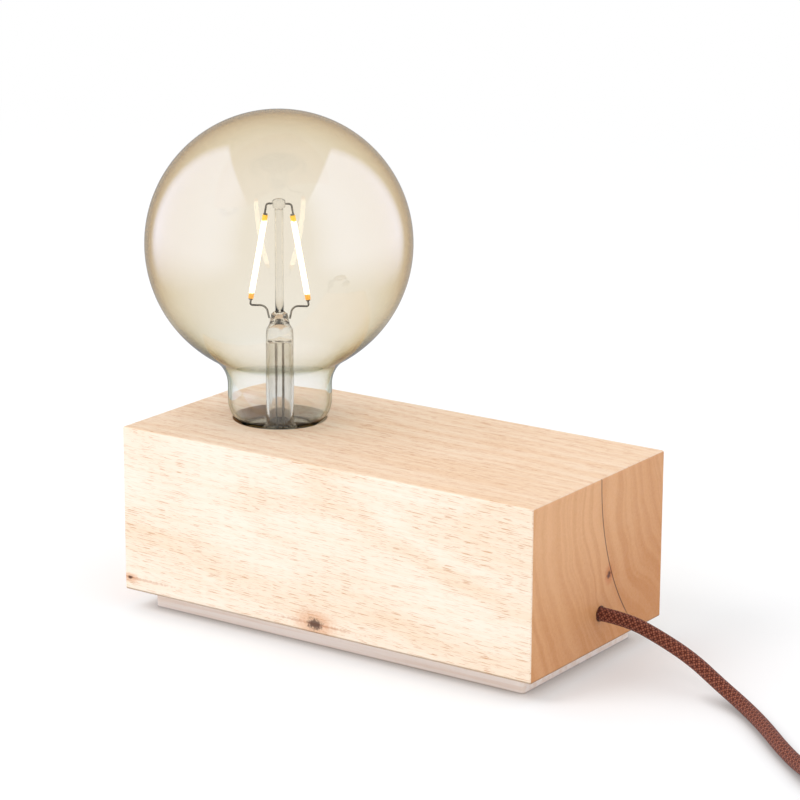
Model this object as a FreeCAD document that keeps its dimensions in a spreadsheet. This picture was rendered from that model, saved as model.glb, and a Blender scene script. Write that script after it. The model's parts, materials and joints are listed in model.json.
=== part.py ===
import FreeCAD, Part
import math
import os

import Sketcher
from FreeCAD import Placement, Rotation, Vector

# A table lamp: a solid hardwood block on an inset base plate, a bare globe bulb screwed into a bore in its top,
# and a textile cord that leaves one end, with a hand switch and a two-pin plug.
#
# Millimetres, +Z up. The origin is the middle of the base plate's underside, on the surface the lamp stands on.
# +X runs along the block to the end that the cord leaves, and -Y is the front.

os.makedirs("parts", exist_ok=True)
doc = FreeCAD.newDocument("BulbTableLamp")

# The driving sizes. One that starts with = follows others, so that the pieces it places keep together.
SIZES = {
    # Block and base plate
    "block_length": 172.0,
    "block_width": 85.0,
    "block_height": 60.5,
    "block_edge": 0.8,
    "plate_thickness": 7.3,
    "plate_inset": 7.7,
    "plate_corner": 1.5,
    "plate_screw_inset": 8.5,
    "plate_screw_radius": 2.0,
    "plate_screw_head": 4.0,
    "plate_screw_length": 24.0,
    "head_sink": 0.2,
    "wood_fit": 0.05,
    # Hollows in the block's underside
    "recess_length": 36.0,
    "recess_width": 66.0,
    "channel_width": 22.0,
    "channel_end_wall": 34.0,
    # Bulb: lamp cap
    "bulb_from_end": 38.0,
    "cap_depth": 3.3,
    "cap_height": 27.0,
    "cap_core_radius": 12.15,
    "cap_wall": 1.15,
    "collar_radius": 13.2,
    "collar_wall": 0.85,
    "collar_height": 6.0,
    "cap_shell_height": 21.5,
    "cap_lip_radius": 9.5,
    "insulator_foot_radius": 4.6,
    "contact_radius": 4.4,
    "contact_height": 1.7,
    "thread_pitch": 3.629,
    "thread_ridge": 1.0,
    "thread_gap": 0.3,
    "thread_start": 10.5,
    "cap_thread_length": 12.4,
    "sleeve_thread_length": 9.6,
    # Bulb: glass
    "globe_radius": 47.5,
    "globe_height": 66.7,
    "glass_wall": 0.8,
    "neck_radius": 18.6,
    "shoulder_radius": 12.0,
    "heel_radius": 9.0,
    "heel_height": 9.8,
    "heel_angle": 54.0,
    "glass_fit": 0.15,
    "tail_depth": 5.0,
    # Bulb: mount and filaments
    "flare_radius": 4.95,
    "flare_wall": 1.0,
    "flare_height": 35.5,
    "flare_foot_height": 6.0,
    "pinch_radius": 2.7,
    "pinch_height": 42.1,
    "rod_radius": 1.6,
    "hub_radius": 2.3,
    "hub_thickness": 2.2,
    "filament_radius": 0.95,
    "filament_top_reach": 5.0,
    "filament_top_height": 77.5,
    "filament_foot_reach": 10.2,
    "filament_foot_height": 46.2,
    "filament_turn": 30.0,
    "hub_rise": 2.5,
    "hub_height": "=filament_top_height + hub_rise",
    "wire_radius": 0.35,
    "lead_drop": 2.0,
    "lead_height": "=filament_foot_height - lead_drop",
    "lead_out_height": 39.6,
    "inner_lead_reach": 1.5,
    "board_fit": 0.3,
    "board_thickness": 1.2,
    "board_height": 13.0,
    "capacitor_radius": 3.0,
    "capacitor_height": 8.0,
    # Bulb holder
    "contact_gap": 0.3,
    "contact_rise": 3.2,
    "contact_width": 5.0,
    "contact_strip": 0.5,
    "insert_height": 8.0,
    "insert_roof": 1.8,
    "insert_cavity_radius": 10.0,
    "slot_clearance": 0.4,
    "holder_floor": 3.0,
    "holder_wall": 1.7,
    "holder_fit": 0.3,
    "bore_clearance": 0.4,
    "rim_drop": 2.5,
    "sleeve_wall": 1.15,
    "sleeve_drop": 4.0,
    "terminal_size": 4.4,
    "terminal_gap": 0.6,
    "terminal_screw_radius": 1.3,
    "terminal_screw_head": 1.9,
    "nipple_radius": 5.0,
    "nipple_bore": 3.5,
    "nipple_tail": 1.0,
    "running_fit": 0.05,
    "nut_across": 14.0,
    "nut_thickness": 3.0,
    "strap_width": 16.0,
    "strap_thickness": 2.0,
    "strap_corner": 2.0,
    "strap_end_gap": 3.0,
    "strap_screw_spacing": 50.0,
    "small_screw_radius": 1.75,
    "small_screw_head": 3.6,
    "small_head_height": 2.2,
    "small_screw_length": 14.0,
    # Cord where it runs inside the block
    "cord_diameter": 4.8,
    "cord_height": 19.8,
    "cord_offset": 1.2,
    "cord_hole_radius": 2.8,
    "cord_inside_length": 62.0,
    "core_radius": 0.95,
    "core_spread": 1.9,
    "core_lift": 2.75,
    "grip_from_end": 48.0,
    "grip_width": 10.0,
    "grip_ear": 10.6,
    "grip_depth": 5.5,
    "grip_screw_reach": 7.0,
    # Hand switch
    "switch_length": 54.0,
    "switch_width": 25.0,
    "switch_end_width": 18.0,
    "switch_shoulder": 8.0,
    "switch_height": 19.0,
    "switch_split": 7.0,
    "switch_wall": 1.8,
    "switch_corner": 3.0,
    "switch_edge": 1.1,
    "relief_length": 20.0,
    "relief_tip_radius": 3.2,
    "relief_root_radius": 5.4,
    "relief_neck_radius": 4.3,
    "relief_flange_radius": 5.1,
    "relief_flange": 1.5,
    "post_across": 14.5,
    "post_aside": 8.2,
    "post_radius": 2.4,
    "post_screw_radius": 1.2,
    "post_screw_head": 2.2,
    "post_screw_length": 11.6,
    "rocker_half_length": 11.0,
    "rocker_half_width": 5.7,
    "rocker_slot_gap": 0.4,
    "rocker_swing_gap": 1.3,
    "rocker_crown": 5.6,
    "rocker_dip": 4.4,
    "rocker_tilt": 9.0,
    "pivot_height": 14.4,
    "pin_radius": 1.2,
    "pin_length": 16.0,
    "ear_thickness": 2.0,
    "ear_half_length": 3.0,
    "ear_drop": 2.2,
    "switch_terminal_length": 12.0,
    "switch_terminal_width": 4.0,
    "switch_terminal_height": 5.4,
    "switch_terminal_from_middle": 4.0,
    # Plug
    "plug_thickness": 13.7,
    "plug_face_width": 35.3,
    "plug_waist_width": 19.0,
    "plug_tail_width": 13.0,
    "plug_length": 36.0,
    "plug_waist_from_face": 23.0,
    "plug_flange": 9.0,
    "plug_edge": 2.0,
    "plug_relief": 25.0,
    "plug_relief_root_radius": 6.0,
    "plug_pin_radius": 2.0,
    "plug_pin_sleeve_radius": 1.9,
    "plug_pin_sleeve": 10.0,
    "plug_pin_length": 19.0,
    "plug_pin_spacing": 18.6,
    # Put-away coil
    "coil_inner_radius": 19.2,
    "coil_draw_in": 0.8,
    "coil_pitch": 5.3,
    "coil_layer": 5.4,
    "coil_lead": 2.0,
}

sheet = doc.addObject("Spreadsheet::Sheet", "Size")
for row, (name, value) in enumerate(SIZES.items(), start=1):
    sheet.set(f"A{row}", name)
    sheet.set(f"B{row}", str(value))
    sheet.setAlias(f"B{row}", name)
doc.recompute()

# Places worked out from the sizes. Each is an expression, used both in the model's bindings and as a number.
BLOCK_END = "(Size.block_length / 2)"
BLOCK_TOP = "(Size.plate_thickness + Size.block_height)"
PLATE_END = "(Size.block_length / 2 - Size.plate_inset)"
PLATE_SIDE = "(Size.block_width / 2 - Size.plate_inset)"
BULB_X = "(Size.bulb_from_end - Size.block_length / 2)"
CAP_TOP = f"({BLOCK_TOP} - Size.cap_depth)"
CAP_FOOT = f"({CAP_TOP} - Size.cap_height)"
SLEEVE_BORE = "(Size.cap_core_radius + Size.thread_ridge + Size.thread_gap)"
SLEEVE_RADIUS = f"({SLEEVE_BORE} + Size.sleeve_wall)"
SHELL_BORE = f"({SLEEVE_RADIUS} + Size.holder_fit)"
SHELL_RADIUS = f"({SHELL_BORE} + Size.holder_wall)"
BLOCK_BORE = f"({SHELL_RADIUS} + Size.bore_clearance)"
INSERT_TOP = f"({CAP_FOOT} - Size.contact_gap - Size.contact_rise)"
INSERT_FOOT = f"({INSERT_TOP} - Size.insert_height)"
STRAP_TOP = f"({INSERT_FOOT} - Size.holder_floor)"
STRAP_FOOT = f"({STRAP_TOP} - Size.strap_thickness)"
CHANNEL_TOP = "(Size.cord_height + Size.cord_hole_radius)"
GRIP_X = f"({BLOCK_END} - Size.grip_from_end)"
GRIP_FOOT = "(Size.cord_height - Size.grip_depth)"
CORD_RADIUS = "(Size.cord_diameter / 2)"
CORE_START = f"({BLOCK_END} - Size.cord_inside_length)"
TERMINAL_FOOT = f"({INSERT_FOOT} + Size.terminal_gap)"
PLATE_SCREW_X = f"({PLATE_END} - Size.plate_screw_inset)"
PLATE_SCREW_Y = f"({PLATE_SIDE} - Size.plate_screw_inset)"

# The cord's route past the block, chosen by hand along the photographed line and then out of its view.
CORD_TO_SWITCH = [
    (86.0, 1.2, 19.8),
    (97.0, 1.2, 19.8),
    (109.5, 1.3, 16.0),
    (123.0, -0.3, 11.6),
    (134.5, -2.1, 5.6),
    (147.0, -7.7, 2.4),
    (161.0, -20.1, 2.4),
    (174.5, -33.7, 2.4),
    (186.5, -44.2, 2.4),
    (198.5, -54.3, 4.5),
    (212.5, -58.5, 7.0),
    (225.0, -58.5, 7.0),
]
CORD_TO_COIL = [
    (319.0, -58.5, 7.0),
    (330.5, -58.5, 7.0),
    (344.0, -58.5, 2.4),
    (355.5, -58.5, 2.4),
]
CORD_TO_PLUG = [
    (355.5, 18.6, 7.8),
    (344.5, 18.6, 7.8),
    (333.0, 18.6, 6.85),
    (322.0, 18.6, 6.85),
]
SWITCH_PLACE = (272.0, -58.5)
PLUG_PLACE = (322.0, 18.6)
COIL_HALF_TURNS = 7
# How far a cut runs past the face that it opens.
CUT_OVERRUN = 1.0
# The driver recess in a screw's head, as a share of its shank's radius.
DRIVER_SHARE = 0.7
# The share of the shorter run that a bend of a tube takes up.
BEND_SHARE = 0.45
# The least difference that counts, in millimetres or cubic millimetres.
TOLERANCE = 1e-3


def number(expression):
    """The value of an expression over the spreadsheet."""
    return float(sheet.evalExpression(expression))


# ---------------------------------------------------------------- sketches and features


def start_body(label, place=("0", "0", "0"), turn=None):
    """An empty body at a place given by three expressions, turned by a fixed rotation."""
    body = doc.addObject("PartDesign::Body", label)
    body.Label = label
    if turn:
        body.Placement = Placement(Vector(), turn)
    for axis, expression in zip("xyz", place):
        body.setExpression(f"Placement.Base.{axis}", expression)
    return body


def sketch_on(body, role, offset="0"):
    """A sketch on one of the body's own origin planes, moved along its normal by an expression."""
    sketch = body.newObject("Sketcher::SketchObject", f"{body.Label}_sketch")
    plane = next(p for p in body.Origin.OriginFeatures if p.Role == role)
    sketch.AttachmentSupport = [(plane, "")]
    sketch.MapMode = "FlatFace"
    sketch.setExpression("AttachmentOffset.Base.z", offset)
    return sketch


def pin_point(sketch, geometry, position, across, up):
    """Bind a point of the sketch to two expressions."""
    for kind, expression, axis in (("DistanceX", across, -2), ("DistanceY", up, -1)):
        if expression == "0":
            sketch.addConstraint(Sketcher.Constraint("PointOnObject", geometry, position, axis))
            continue
        rule = Sketcher.Constraint(kind, -1, 1, geometry, position, number(expression))
        sketch.setExpression(f"Constraints[{sketch.addConstraint(rule)}]", expression)


def arc_between(start, end, radius, side):
    """An arc of under a half turn. side is 1 where its centre lies left of the way to the end, else -1."""
    chord = end - start
    rise = math.sqrt(radius**2 - (chord.Length / 2) ** 2)
    left = Vector(-chord.y, chord.x, 0).normalize()
    centre = (start + end) * 0.5 + left * rise * side
    first, last = (start, end) if side > 0 else (end, start)
    angles = [math.atan2(p.y - centre.y, p.x - centre.x) for p in (first, last)]
    if angles[1] < angles[0]:
        angles[1] += 2 * math.pi
    return Part.ArcOfCircle(Part.Circle(centre, Vector(0, 0, 1), radius), *angles)


def draw_outline(sketch, corners):
    """A closed outline. A corner is (across, up), with (radius, side) added where an arc leads to the next."""
    spots = [Vector(number(c[0]), number(c[1]), 0) for c in corners]
    ends = []
    for i, corner in enumerate(corners):
        here, there = spots[i], spots[(i + 1) % len(spots)]
        if len(corner) == 2:
            geometry = sketch.addGeometry(Part.LineSegment(here, there))
            ends.append((geometry, 1, 2))
            continue
        radius, side = corner[2:]
        geometry = sketch.addGeometry(arc_between(here, there, number(radius), side))
        ends.append((geometry, 1, 2) if side > 0 else (geometry, 2, 1))
    for i, corner in enumerate(corners):
        geometry, first, _ = ends[i]
        before, _, last = ends[i - 1]
        sketch.addConstraint(Sketcher.Constraint("Coincident", before, last, geometry, first))
        pin_point(sketch, geometry, first, corner[0], corner[1])
        if len(corner) == 4:
            rule = Sketcher.Constraint("Radius", geometry, number(corner[2]))
            sketch.setExpression(f"Constraints[{sketch.addConstraint(rule)}]", corner[2])


def draw_circle(sketch, across, up, radius):
    """A circle bound to three expressions."""
    centre = Vector(number(across), number(up), 0)
    geometry = sketch.addGeometry(Part.Circle(centre, Vector(0, 0, 1), number(radius)))
    pin_point(sketch, geometry, 3, across, up)
    rule = Sketcher.Constraint("Radius", geometry, number(radius))
    sketch.setExpression(f"Constraints[{sketch.addConstraint(rule)}]", radius)


def rectangle(left, right, low, high):
    """The four corners of a rectangle, as expressions."""
    return [(left, low), (right, low), (right, high), (left, high)]


def pad(body, sketch, length, symmetric=False):
    """Add the sketch's outline, extruded by an expression."""
    step = body.newObject("PartDesign::Pad", f"{body.Label}_pad")
    step.Profile = sketch
    step.SideType = "Symmetric" if symmetric else "One side"
    step.setExpression("Length", length)
    doc.recompute()


def expect_less(body, before):
    """Stop where the body's last cut took nothing away."""
    doc.recompute()
    if body.Shape.Volume > before - TOLERANCE:
        raise RuntimeError(f"the last cut in {body.Label} takes nothing away")


def pocket(body, sketch, depth, upwards=True, symmetric=False):
    """Take the sketch's outline away. Upwards is along the sketch's normal."""
    before = body.Shape.Volume
    step = body.newObject("PartDesign::Pocket", f"{body.Label}_pocket")
    step.Profile = sketch
    step.SideType = "Symmetric" if symmetric else "One side"
    step.Reversed = upwards
    step.setExpression("Length", depth)
    expect_less(body, before)


def revolve(body, sketch, axis="V_Axis"):
    """Add the sketch's outline, turned once round one of the sketch's axes."""
    step = body.newObject("PartDesign::Revolution", f"{body.Label}_turned")
    step.Profile = sketch
    step.ReferenceAxis = (sketch, [axis])
    step.Angle = 360.0
    doc.recompute()


def groove(body, sketch):
    """Take the sketch's outline away, turned once round the vertical axis."""
    before = body.Shape.Volume
    step = body.newObject("PartDesign::Groove", f"{body.Label}_groove")
    step.Profile = sketch
    step.ReferenceAxis = (sketch, ["V_Axis"])
    step.Angle = 360.0
    expect_less(body, before)


def soften(body, size, wanted):
    """Round the edges of the body's last feature for which wanted(edge) is true."""
    tip = body.Tip
    names = [f"Edge{i}" for i, edge in enumerate(tip.Shape.Edges, start=1) if wanted(edge)]
    step = body.newObject("PartDesign::Fillet", f"{body.Label}_fillet")
    step.Base = (tip, names)
    step.setExpression("Radius", size)
    doc.recompute()


def upright(edge):
    """Whether an edge is straight and vertical."""
    box = edge.BoundBox
    return box.XLength < TOLERANCE and box.YLength < TOLERANCE


def lathe(label, corners, place=("0", "0", "0"), turn=None):
    """A body turned from one outline of (radius, height) corners round its own Z axis."""
    body = start_body(label, place, turn)
    sketch = sketch_on(body, "XZ_Plane")
    draw_outline(sketch, corners)
    revolve(body, sketch)
    return body


# ---------------------------------------------------------------- wood


def make_block():
    """The hardwood block, bored for the bulb holder and hollowed from below for the strap and the wiring."""
    body = start_body("wood_block", ("0", "0", "Size.plate_thickness"))
    foot = "Size.plate_thickness"
    outline = sketch_on(body, "XY_Plane")
    draw_outline(
        outline,
        rectangle(f"-{BLOCK_END}", BLOCK_END, "-Size.block_width / 2", "Size.block_width / 2"),
    )
    pad(body, outline, "Size.block_height")
    soften(body, "Size.block_edge", lambda edge: True)

    bore = sketch_on(body, "XY_Plane")
    draw_circle(bore, BULB_X, "0", BLOCK_BORE)
    pocket(body, bore, "Size.block_height")

    recess = sketch_on(body, "XY_Plane")
    half = "Size.recess_length / 2"
    side = "Size.recess_width / 2"
    draw_outline(recess, rectangle(f"{BULB_X} - {half}", f"{BULB_X} + {half}", f"-{side}", side))
    pocket(body, recess, f"{STRAP_TOP} - {foot}")

    channel = sketch_on(body, "XY_Plane")
    draw_outline(
        channel,
        rectangle(
            BULB_X,
            f"{BLOCK_END} - Size.channel_end_wall",
            "Size.cord_offset - Size.channel_width / 2",
            "Size.cord_offset + Size.channel_width / 2",
        ),
    )
    pocket(body, channel, f"{CHANNEL_TOP} - {foot}")

    hole = sketch_on(body, "YZ_Plane", BLOCK_END)
    draw_circle(hole, "Size.cord_offset", f"Size.cord_height - {foot}", "Size.cord_hole_radius")
    pocket(body, hole, "Size.channel_end_wall", upwards=False)

    pilots = sketch_on(body, "XY_Plane")
    for across in (f"-{PLATE_SCREW_X}", PLATE_SCREW_X):
        for aside in (f"-{PLATE_SCREW_Y}", PLATE_SCREW_Y):
            draw_circle(pilots, across, aside, "Size.plate_screw_radius + Size.wood_fit")
    pocket(body, pilots, f"Size.plate_screw_length - {foot} + {CUT_OVERRUN}")

    small = "Size.small_screw_radius + Size.wood_fit"
    strap_pilots = sketch_on(body, "XY_Plane", f"{STRAP_TOP} - {foot}")
    for aside in ("-Size.strap_screw_spacing / 2", "Size.strap_screw_spacing / 2"):
        draw_circle(strap_pilots, BULB_X, aside, small)
    pocket(body, strap_pilots, "Size.small_screw_length")

    grip_pilots = sketch_on(body, "XY_Plane", f"{CHANNEL_TOP} - {foot}")
    for aside in ("- Size.grip_screw_reach", "+ Size.grip_screw_reach"):
        draw_circle(grip_pilots, GRIP_X, f"Size.cord_offset {aside}", small)
    pocket(body, grip_pilots, "Size.small_screw_length")
    return body


def make_plate():
    """The inset base plate, with rounded corners and countersunk holes for its four screws."""
    body = start_body("base_plate")
    outline = sketch_on(body, "XY_Plane")
    draw_outline(outline, rectangle(f"-{PLATE_END}", PLATE_END, f"-{PLATE_SIDE}", PLATE_SIDE))
    pad(body, outline, "Size.plate_thickness")
    soften(body, "Size.plate_corner", upright)
    holes = sketch_on(body, "XY_Plane")
    for across in (f"-{PLATE_SCREW_X}", PLATE_SCREW_X):
        for aside in (f"-{PLATE_SCREW_Y}", PLATE_SCREW_Y):
            draw_circle(holes, across, aside, "Size.plate_screw_radius + Size.wood_fit")
    doc.recompute()
    before = body.Shape.Volume
    step = body.newObject("PartDesign::Hole", "base_plate_holes")
    step.Profile = holes
    step.Reversed = True
    step.ThreadType = "None"
    step.DepthType = "ThroughAll"
    step.HoleCutType = "Countersink"
    step.HoleCutCustomValues = True
    step.setExpression("Diameter", "2 * (Size.plate_screw_radius + Size.wood_fit)")
    step.setExpression("HoleCutDiameter", "2 * (Size.plate_screw_head + Size.head_sink + Size.wood_fit)")
    step.HoleCutCountersinkAngle = 90.0
    expect_less(body, before)
    return body


def make_plate_screws():
    """Four countersunk wood screws, their heads just under the plate's face."""
    made = []
    for i, (x, y) in enumerate(((-1, -1), (1, -1), (1, 1), (-1, 1)), start=1):
        place = (f"{x} * {PLATE_SCREW_X}", f"{y} * {PLATE_SCREW_Y}", "0")
        radius = "Size.plate_screw_radius"
        corners = [
            ("0", "Size.head_sink"),
            ("Size.plate_screw_head", "Size.head_sink"),
            (radius, f"Size.head_sink + Size.plate_screw_head - {radius}"),
            (radius, f"Size.plate_screw_length - {radius}"),
            ("0", "Size.plate_screw_length"),
        ]
        body = lathe(f"plate_screw_{i}", corners, place)
        recess = sketch_on(body, "XY_Plane")
        draw_circle(recess, "0", "0", f"Size.plate_screw_radius * {DRIVER_SHARE}")
        pocket(body, recess, "Size.plate_screw_radius")
        made.append(body)
    return made


def pan_screw(label, place, turn=None, radius="Size.small_screw_radius", head="Size.small_screw_head",
              thick="Size.small_head_height", length="Size.small_screw_length"):
    """A pan-head screw. Its head's bearing face is at height 0 and its shank goes up."""
    corners = [
        ("0", f"-{thick}"),
        (f"{head} - {thick} / 3", f"-{thick}"),
        (head, f"-2 * {thick} / 3"),
        (head, "0"),
        (radius, "0"),
        (radius, f"{length} - {radius}"),
        ("0", length),
    ]
    body = lathe(label, corners, place, turn)
    recess = sketch_on(body, "XY_Plane", f"-{thick}")
    draw_circle(recess, "0", "0", f"{radius} * {DRIVER_SHARE}")
    pocket(body, recess, f"{thick} / 2")
    return body


# ---------------------------------------------------------------- bulb holder


def ridge(body, radius, start, length):
    """A right-handed round thread ridge fused to the body."""
    sketch = sketch_on(body, "XZ_Plane")
    draw_circle(sketch, radius, start, "Size.thread_ridge")
    step = body.newObject("PartDesign::AdditiveHelix", f"{body.Label}_thread")
    step.Profile = sketch
    step.ReferenceAxis = (sketch, ["V_Axis"])
    step.Mode = "pitch-height-angle"
    step.setExpression("Pitch", "Size.thread_pitch")
    step.setExpression("Height", length)
    doc.recompute()


def make_holder():
    """The holder's shell, insulating insert and threaded sleeve."""
    rim = f"({CAP_TOP} - Size.rim_drop - {STRAP_TOP})"
    bevel = "Size.holder_wall / 2"
    shell = lathe(
        "holder_shell",
        [
            ("Size.nipple_radius + Size.running_fit", "0"),
            (f"{SHELL_RADIUS} - {bevel}", "0"),
            (SHELL_RADIUS, bevel),
            (SHELL_RADIUS, rim),
            (SHELL_BORE, rim),
            (SHELL_BORE, "Size.holder_floor"),
            ("Size.nipple_radius + Size.running_fit", "Size.holder_floor"),
        ],
        (BULB_X, "0", STRAP_TOP),
    )
    cavity = "Size.insert_height - Size.insert_roof"
    insert = lathe(
        "holder_insert",
        [
            ("Size.insert_cavity_radius", "0"),
            (SLEEVE_RADIUS, "0"),
            (SLEEVE_RADIUS, "Size.insert_height"),
            ("0", "Size.insert_height"),
            ("0", cavity),
            ("Size.insert_cavity_radius", cavity),
        ],
        (BULB_X, "0", INSERT_FOOT),
    )
    slot = sketch_on(insert, "XY_Plane", cavity)
    wide = "(Size.contact_width / 2 + Size.slot_clearance)"
    deep = "(Size.terminal_gap + Size.terminal_size + Size.slot_clearance)"
    draw_outline(slot, rectangle(f"-{wide}", wide, f"-{deep}", deep))
    pocket(insert, slot, "Size.insert_roof")

    high = f"({CAP_TOP} - Size.sleeve_drop - {INSERT_TOP})"
    sleeve = lathe(
        "holder_sleeve",
        rectangle(SLEEVE_BORE, SLEEVE_RADIUS, "0", high),
        (BULB_X, "0", INSERT_TOP),
    )
    ridge(
        sleeve,
        SLEEVE_BORE,
        "Size.thread_start + Size.thread_pitch / 2",
        "Size.sleeve_thread_length",
    )
    return [shell, insert, sleeve]


def make_contacts():
    """The live contact, with its tongue under the bulb, and the neutral contact, inside the sleeve."""
    near, far = "Size.terminal_gap", "(Size.terminal_gap + Size.terminal_size)"
    low, high = "Size.terminal_gap", "(Size.terminal_gap + Size.terminal_size)"
    outer = f"({far} - Size.contact_strip)"
    inner = f"({outer} - Size.contact_strip)"
    tongue = "(Size.insert_height + Size.contact_rise)"
    live_corners = [
        (f"-{far}", low),
        (f"-{near}", low),
        (f"-{near}", high),
        (f"-{inner}", high),
        (f"-{inner}", f"{tongue} - Size.contact_strip"),
        ("Size.contact_radius - Size.contact_strip", f"{tongue} - Size.contact_strip"),
        ("Size.contact_radius - Size.contact_strip", tongue),
        (f"-{outer}", tongue),
        (f"-{outer}", high),
        (f"-{far}", high),
    ]
    wall = f"({SLEEVE_BORE} - Size.thread_gap)"
    shelf = "Size.insert_height"
    tip = "(Size.insert_height + Size.contact_rise + Size.contact_gap)"
    neutral_corners = [
        (near, low),
        (far, low),
        (far, high),
        (outer, high),
        (outer, shelf),
        (wall, shelf),
        (wall, tip),
        (f"{wall} - Size.contact_strip", tip),
        (f"{wall} - Size.contact_strip", f"{shelf} + Size.contact_strip"),
        (inner, f"{shelf} + Size.contact_strip"),
        (inner, high),
        (near, high),
    ]
    made = []
    for label, corners, side in (
        ("live_contact", live_corners, "-"),
        ("neutral_contact", neutral_corners, "+"),
    ):
        body = start_body(label, (BULB_X, "0", INSERT_FOOT))
        sketch = sketch_on(body, "YZ_Plane")
        draw_outline(sketch, corners)
        pad(body, sketch, "Size.contact_width", symmetric=True)
        hole = sketch_on(body, "YZ_Plane", "Size.contact_width / 2")
        middle = "(Size.terminal_gap + Size.terminal_size / 2)"
        draw_circle(hole, f"0 {side} {middle}", middle, "Size.terminal_screw_radius + Size.running_fit")
        pocket(body, hole, "Size.contact_width - Size.contact_strip", upwards=False)
        screw = pan_screw(
            f"terminal_screw_{1 if side == '-' else 2}",
            (f"{BULB_X} + Size.contact_width / 2", f"0 {side} {middle}", f"{INSERT_FOOT} + {middle}"),
            Rotation(Vector(0, 1, 0), -90),
            "Size.terminal_screw_radius",
            "Size.terminal_screw_head",
            "Size.terminal_screw_radius",
            "Size.contact_width - 2 * Size.contact_strip",
        )
        made += [body, screw]
    return made


def make_mounting():
    """The threaded nipple, its nut, the steel strap across the recess and the strap's two screws."""
    nipple_foot = f"({STRAP_FOOT} - Size.nut_thickness - Size.nipple_tail)"
    nipple = lathe(
        "holder_nipple",
        rectangle("Size.nipple_bore", "Size.nipple_radius", "0", f"{INSERT_FOOT} - {nipple_foot}"),
        (BULB_X, "0", nipple_foot),
    )
    nut = start_body("holder_nut", (BULB_X, "0", f"{STRAP_FOOT} - Size.nut_thickness"))
    hexagon = sketch_on(nut, "XY_Plane")
    flat = "(Size.nut_across / 2)"
    corner = f"({flat} / cos(30))"
    draw_outline(
        hexagon,
        [(f"{corner} * cos({60 * i})", f"{corner} * sin({60 * i})") for i in range(6)],
    )
    draw_circle(hexagon, "0", "0", "Size.nipple_radius + Size.running_fit")
    pad(nut, hexagon, "Size.nut_thickness")

    strap = start_body("holder_strap", (BULB_X, "0", STRAP_FOOT))
    flat_bar = sketch_on(strap, "XY_Plane")
    end = "(Size.recess_width / 2 - Size.strap_end_gap)"
    half = "(Size.strap_width / 2)"
    draw_outline(flat_bar, rectangle(f"-{half}", half, f"-{end}", end))
    draw_circle(flat_bar, "0", "0", "Size.nipple_radius + Size.running_fit")
    for side in ("-", "+"):
        aside = f"0 {side} Size.strap_screw_spacing / 2"
        draw_circle(flat_bar, "0", aside, "Size.small_screw_radius + Size.holder_fit")
    pad(strap, flat_bar, "Size.strap_thickness")
    tip = number(end) - TOLERANCE
    soften(strap, "Size.strap_corner", lambda edge: upright(edge) and abs(edge.Vertexes[0].Y) > tip)
    screws = [
        pan_screw(f"strap_screw_{i}", (BULB_X, f"{side} * Size.strap_screw_spacing / 2", STRAP_FOOT))
        for i, side in enumerate((-1, 1), start=1)
    ]
    return [nipple, nut, strap, *screws]


def make_cord_grip():
    """The saddle that holds the cord up against the channel's ceiling, and its two screws."""
    body = start_body("cord_grip", (GRIP_X, "Size.cord_offset", "Size.cord_height"))
    sketch = sketch_on(body, "YZ_Plane")
    hug = f"({CORD_RADIUS} + Size.running_fit)"
    top = "Size.cord_hole_radius"
    draw_outline(
        sketch,
        [
            ("-Size.grip_ear", "-Size.grip_depth"),
            ("Size.grip_ear", "-Size.grip_depth"),
            ("Size.grip_ear", top),
            (hug, top),
            (hug, "0", hug, -1),
            ("0", f"-{hug}", hug, -1),
            (f"-{hug}", "0"),
            (f"-{hug}", top),
            ("-Size.grip_ear", top),
        ],
    )
    pad(body, sketch, "Size.grip_width", symmetric=True)
    holes = sketch_on(body, "XY_Plane", "-Size.grip_depth")
    for side in ("-", "+"):
        draw_circle(holes, "0", f"0 {side} Size.grip_screw_reach", "Size.small_screw_radius + Size.wood_fit")
    pocket(body, holes, "Size.grip_depth + Size.cord_hole_radius")
    screws = [
        pan_screw(
            f"grip_screw_{i}",
            (GRIP_X, f"Size.cord_offset + {side} * Size.grip_screw_reach", GRIP_FOOT),
            length="Size.small_screw_length + Size.grip_depth",
        )
        for i, side in enumerate((-1, 1), start=1)
    ]
    return [body, *screws]


# ---------------------------------------------------------------- bulb


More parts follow.
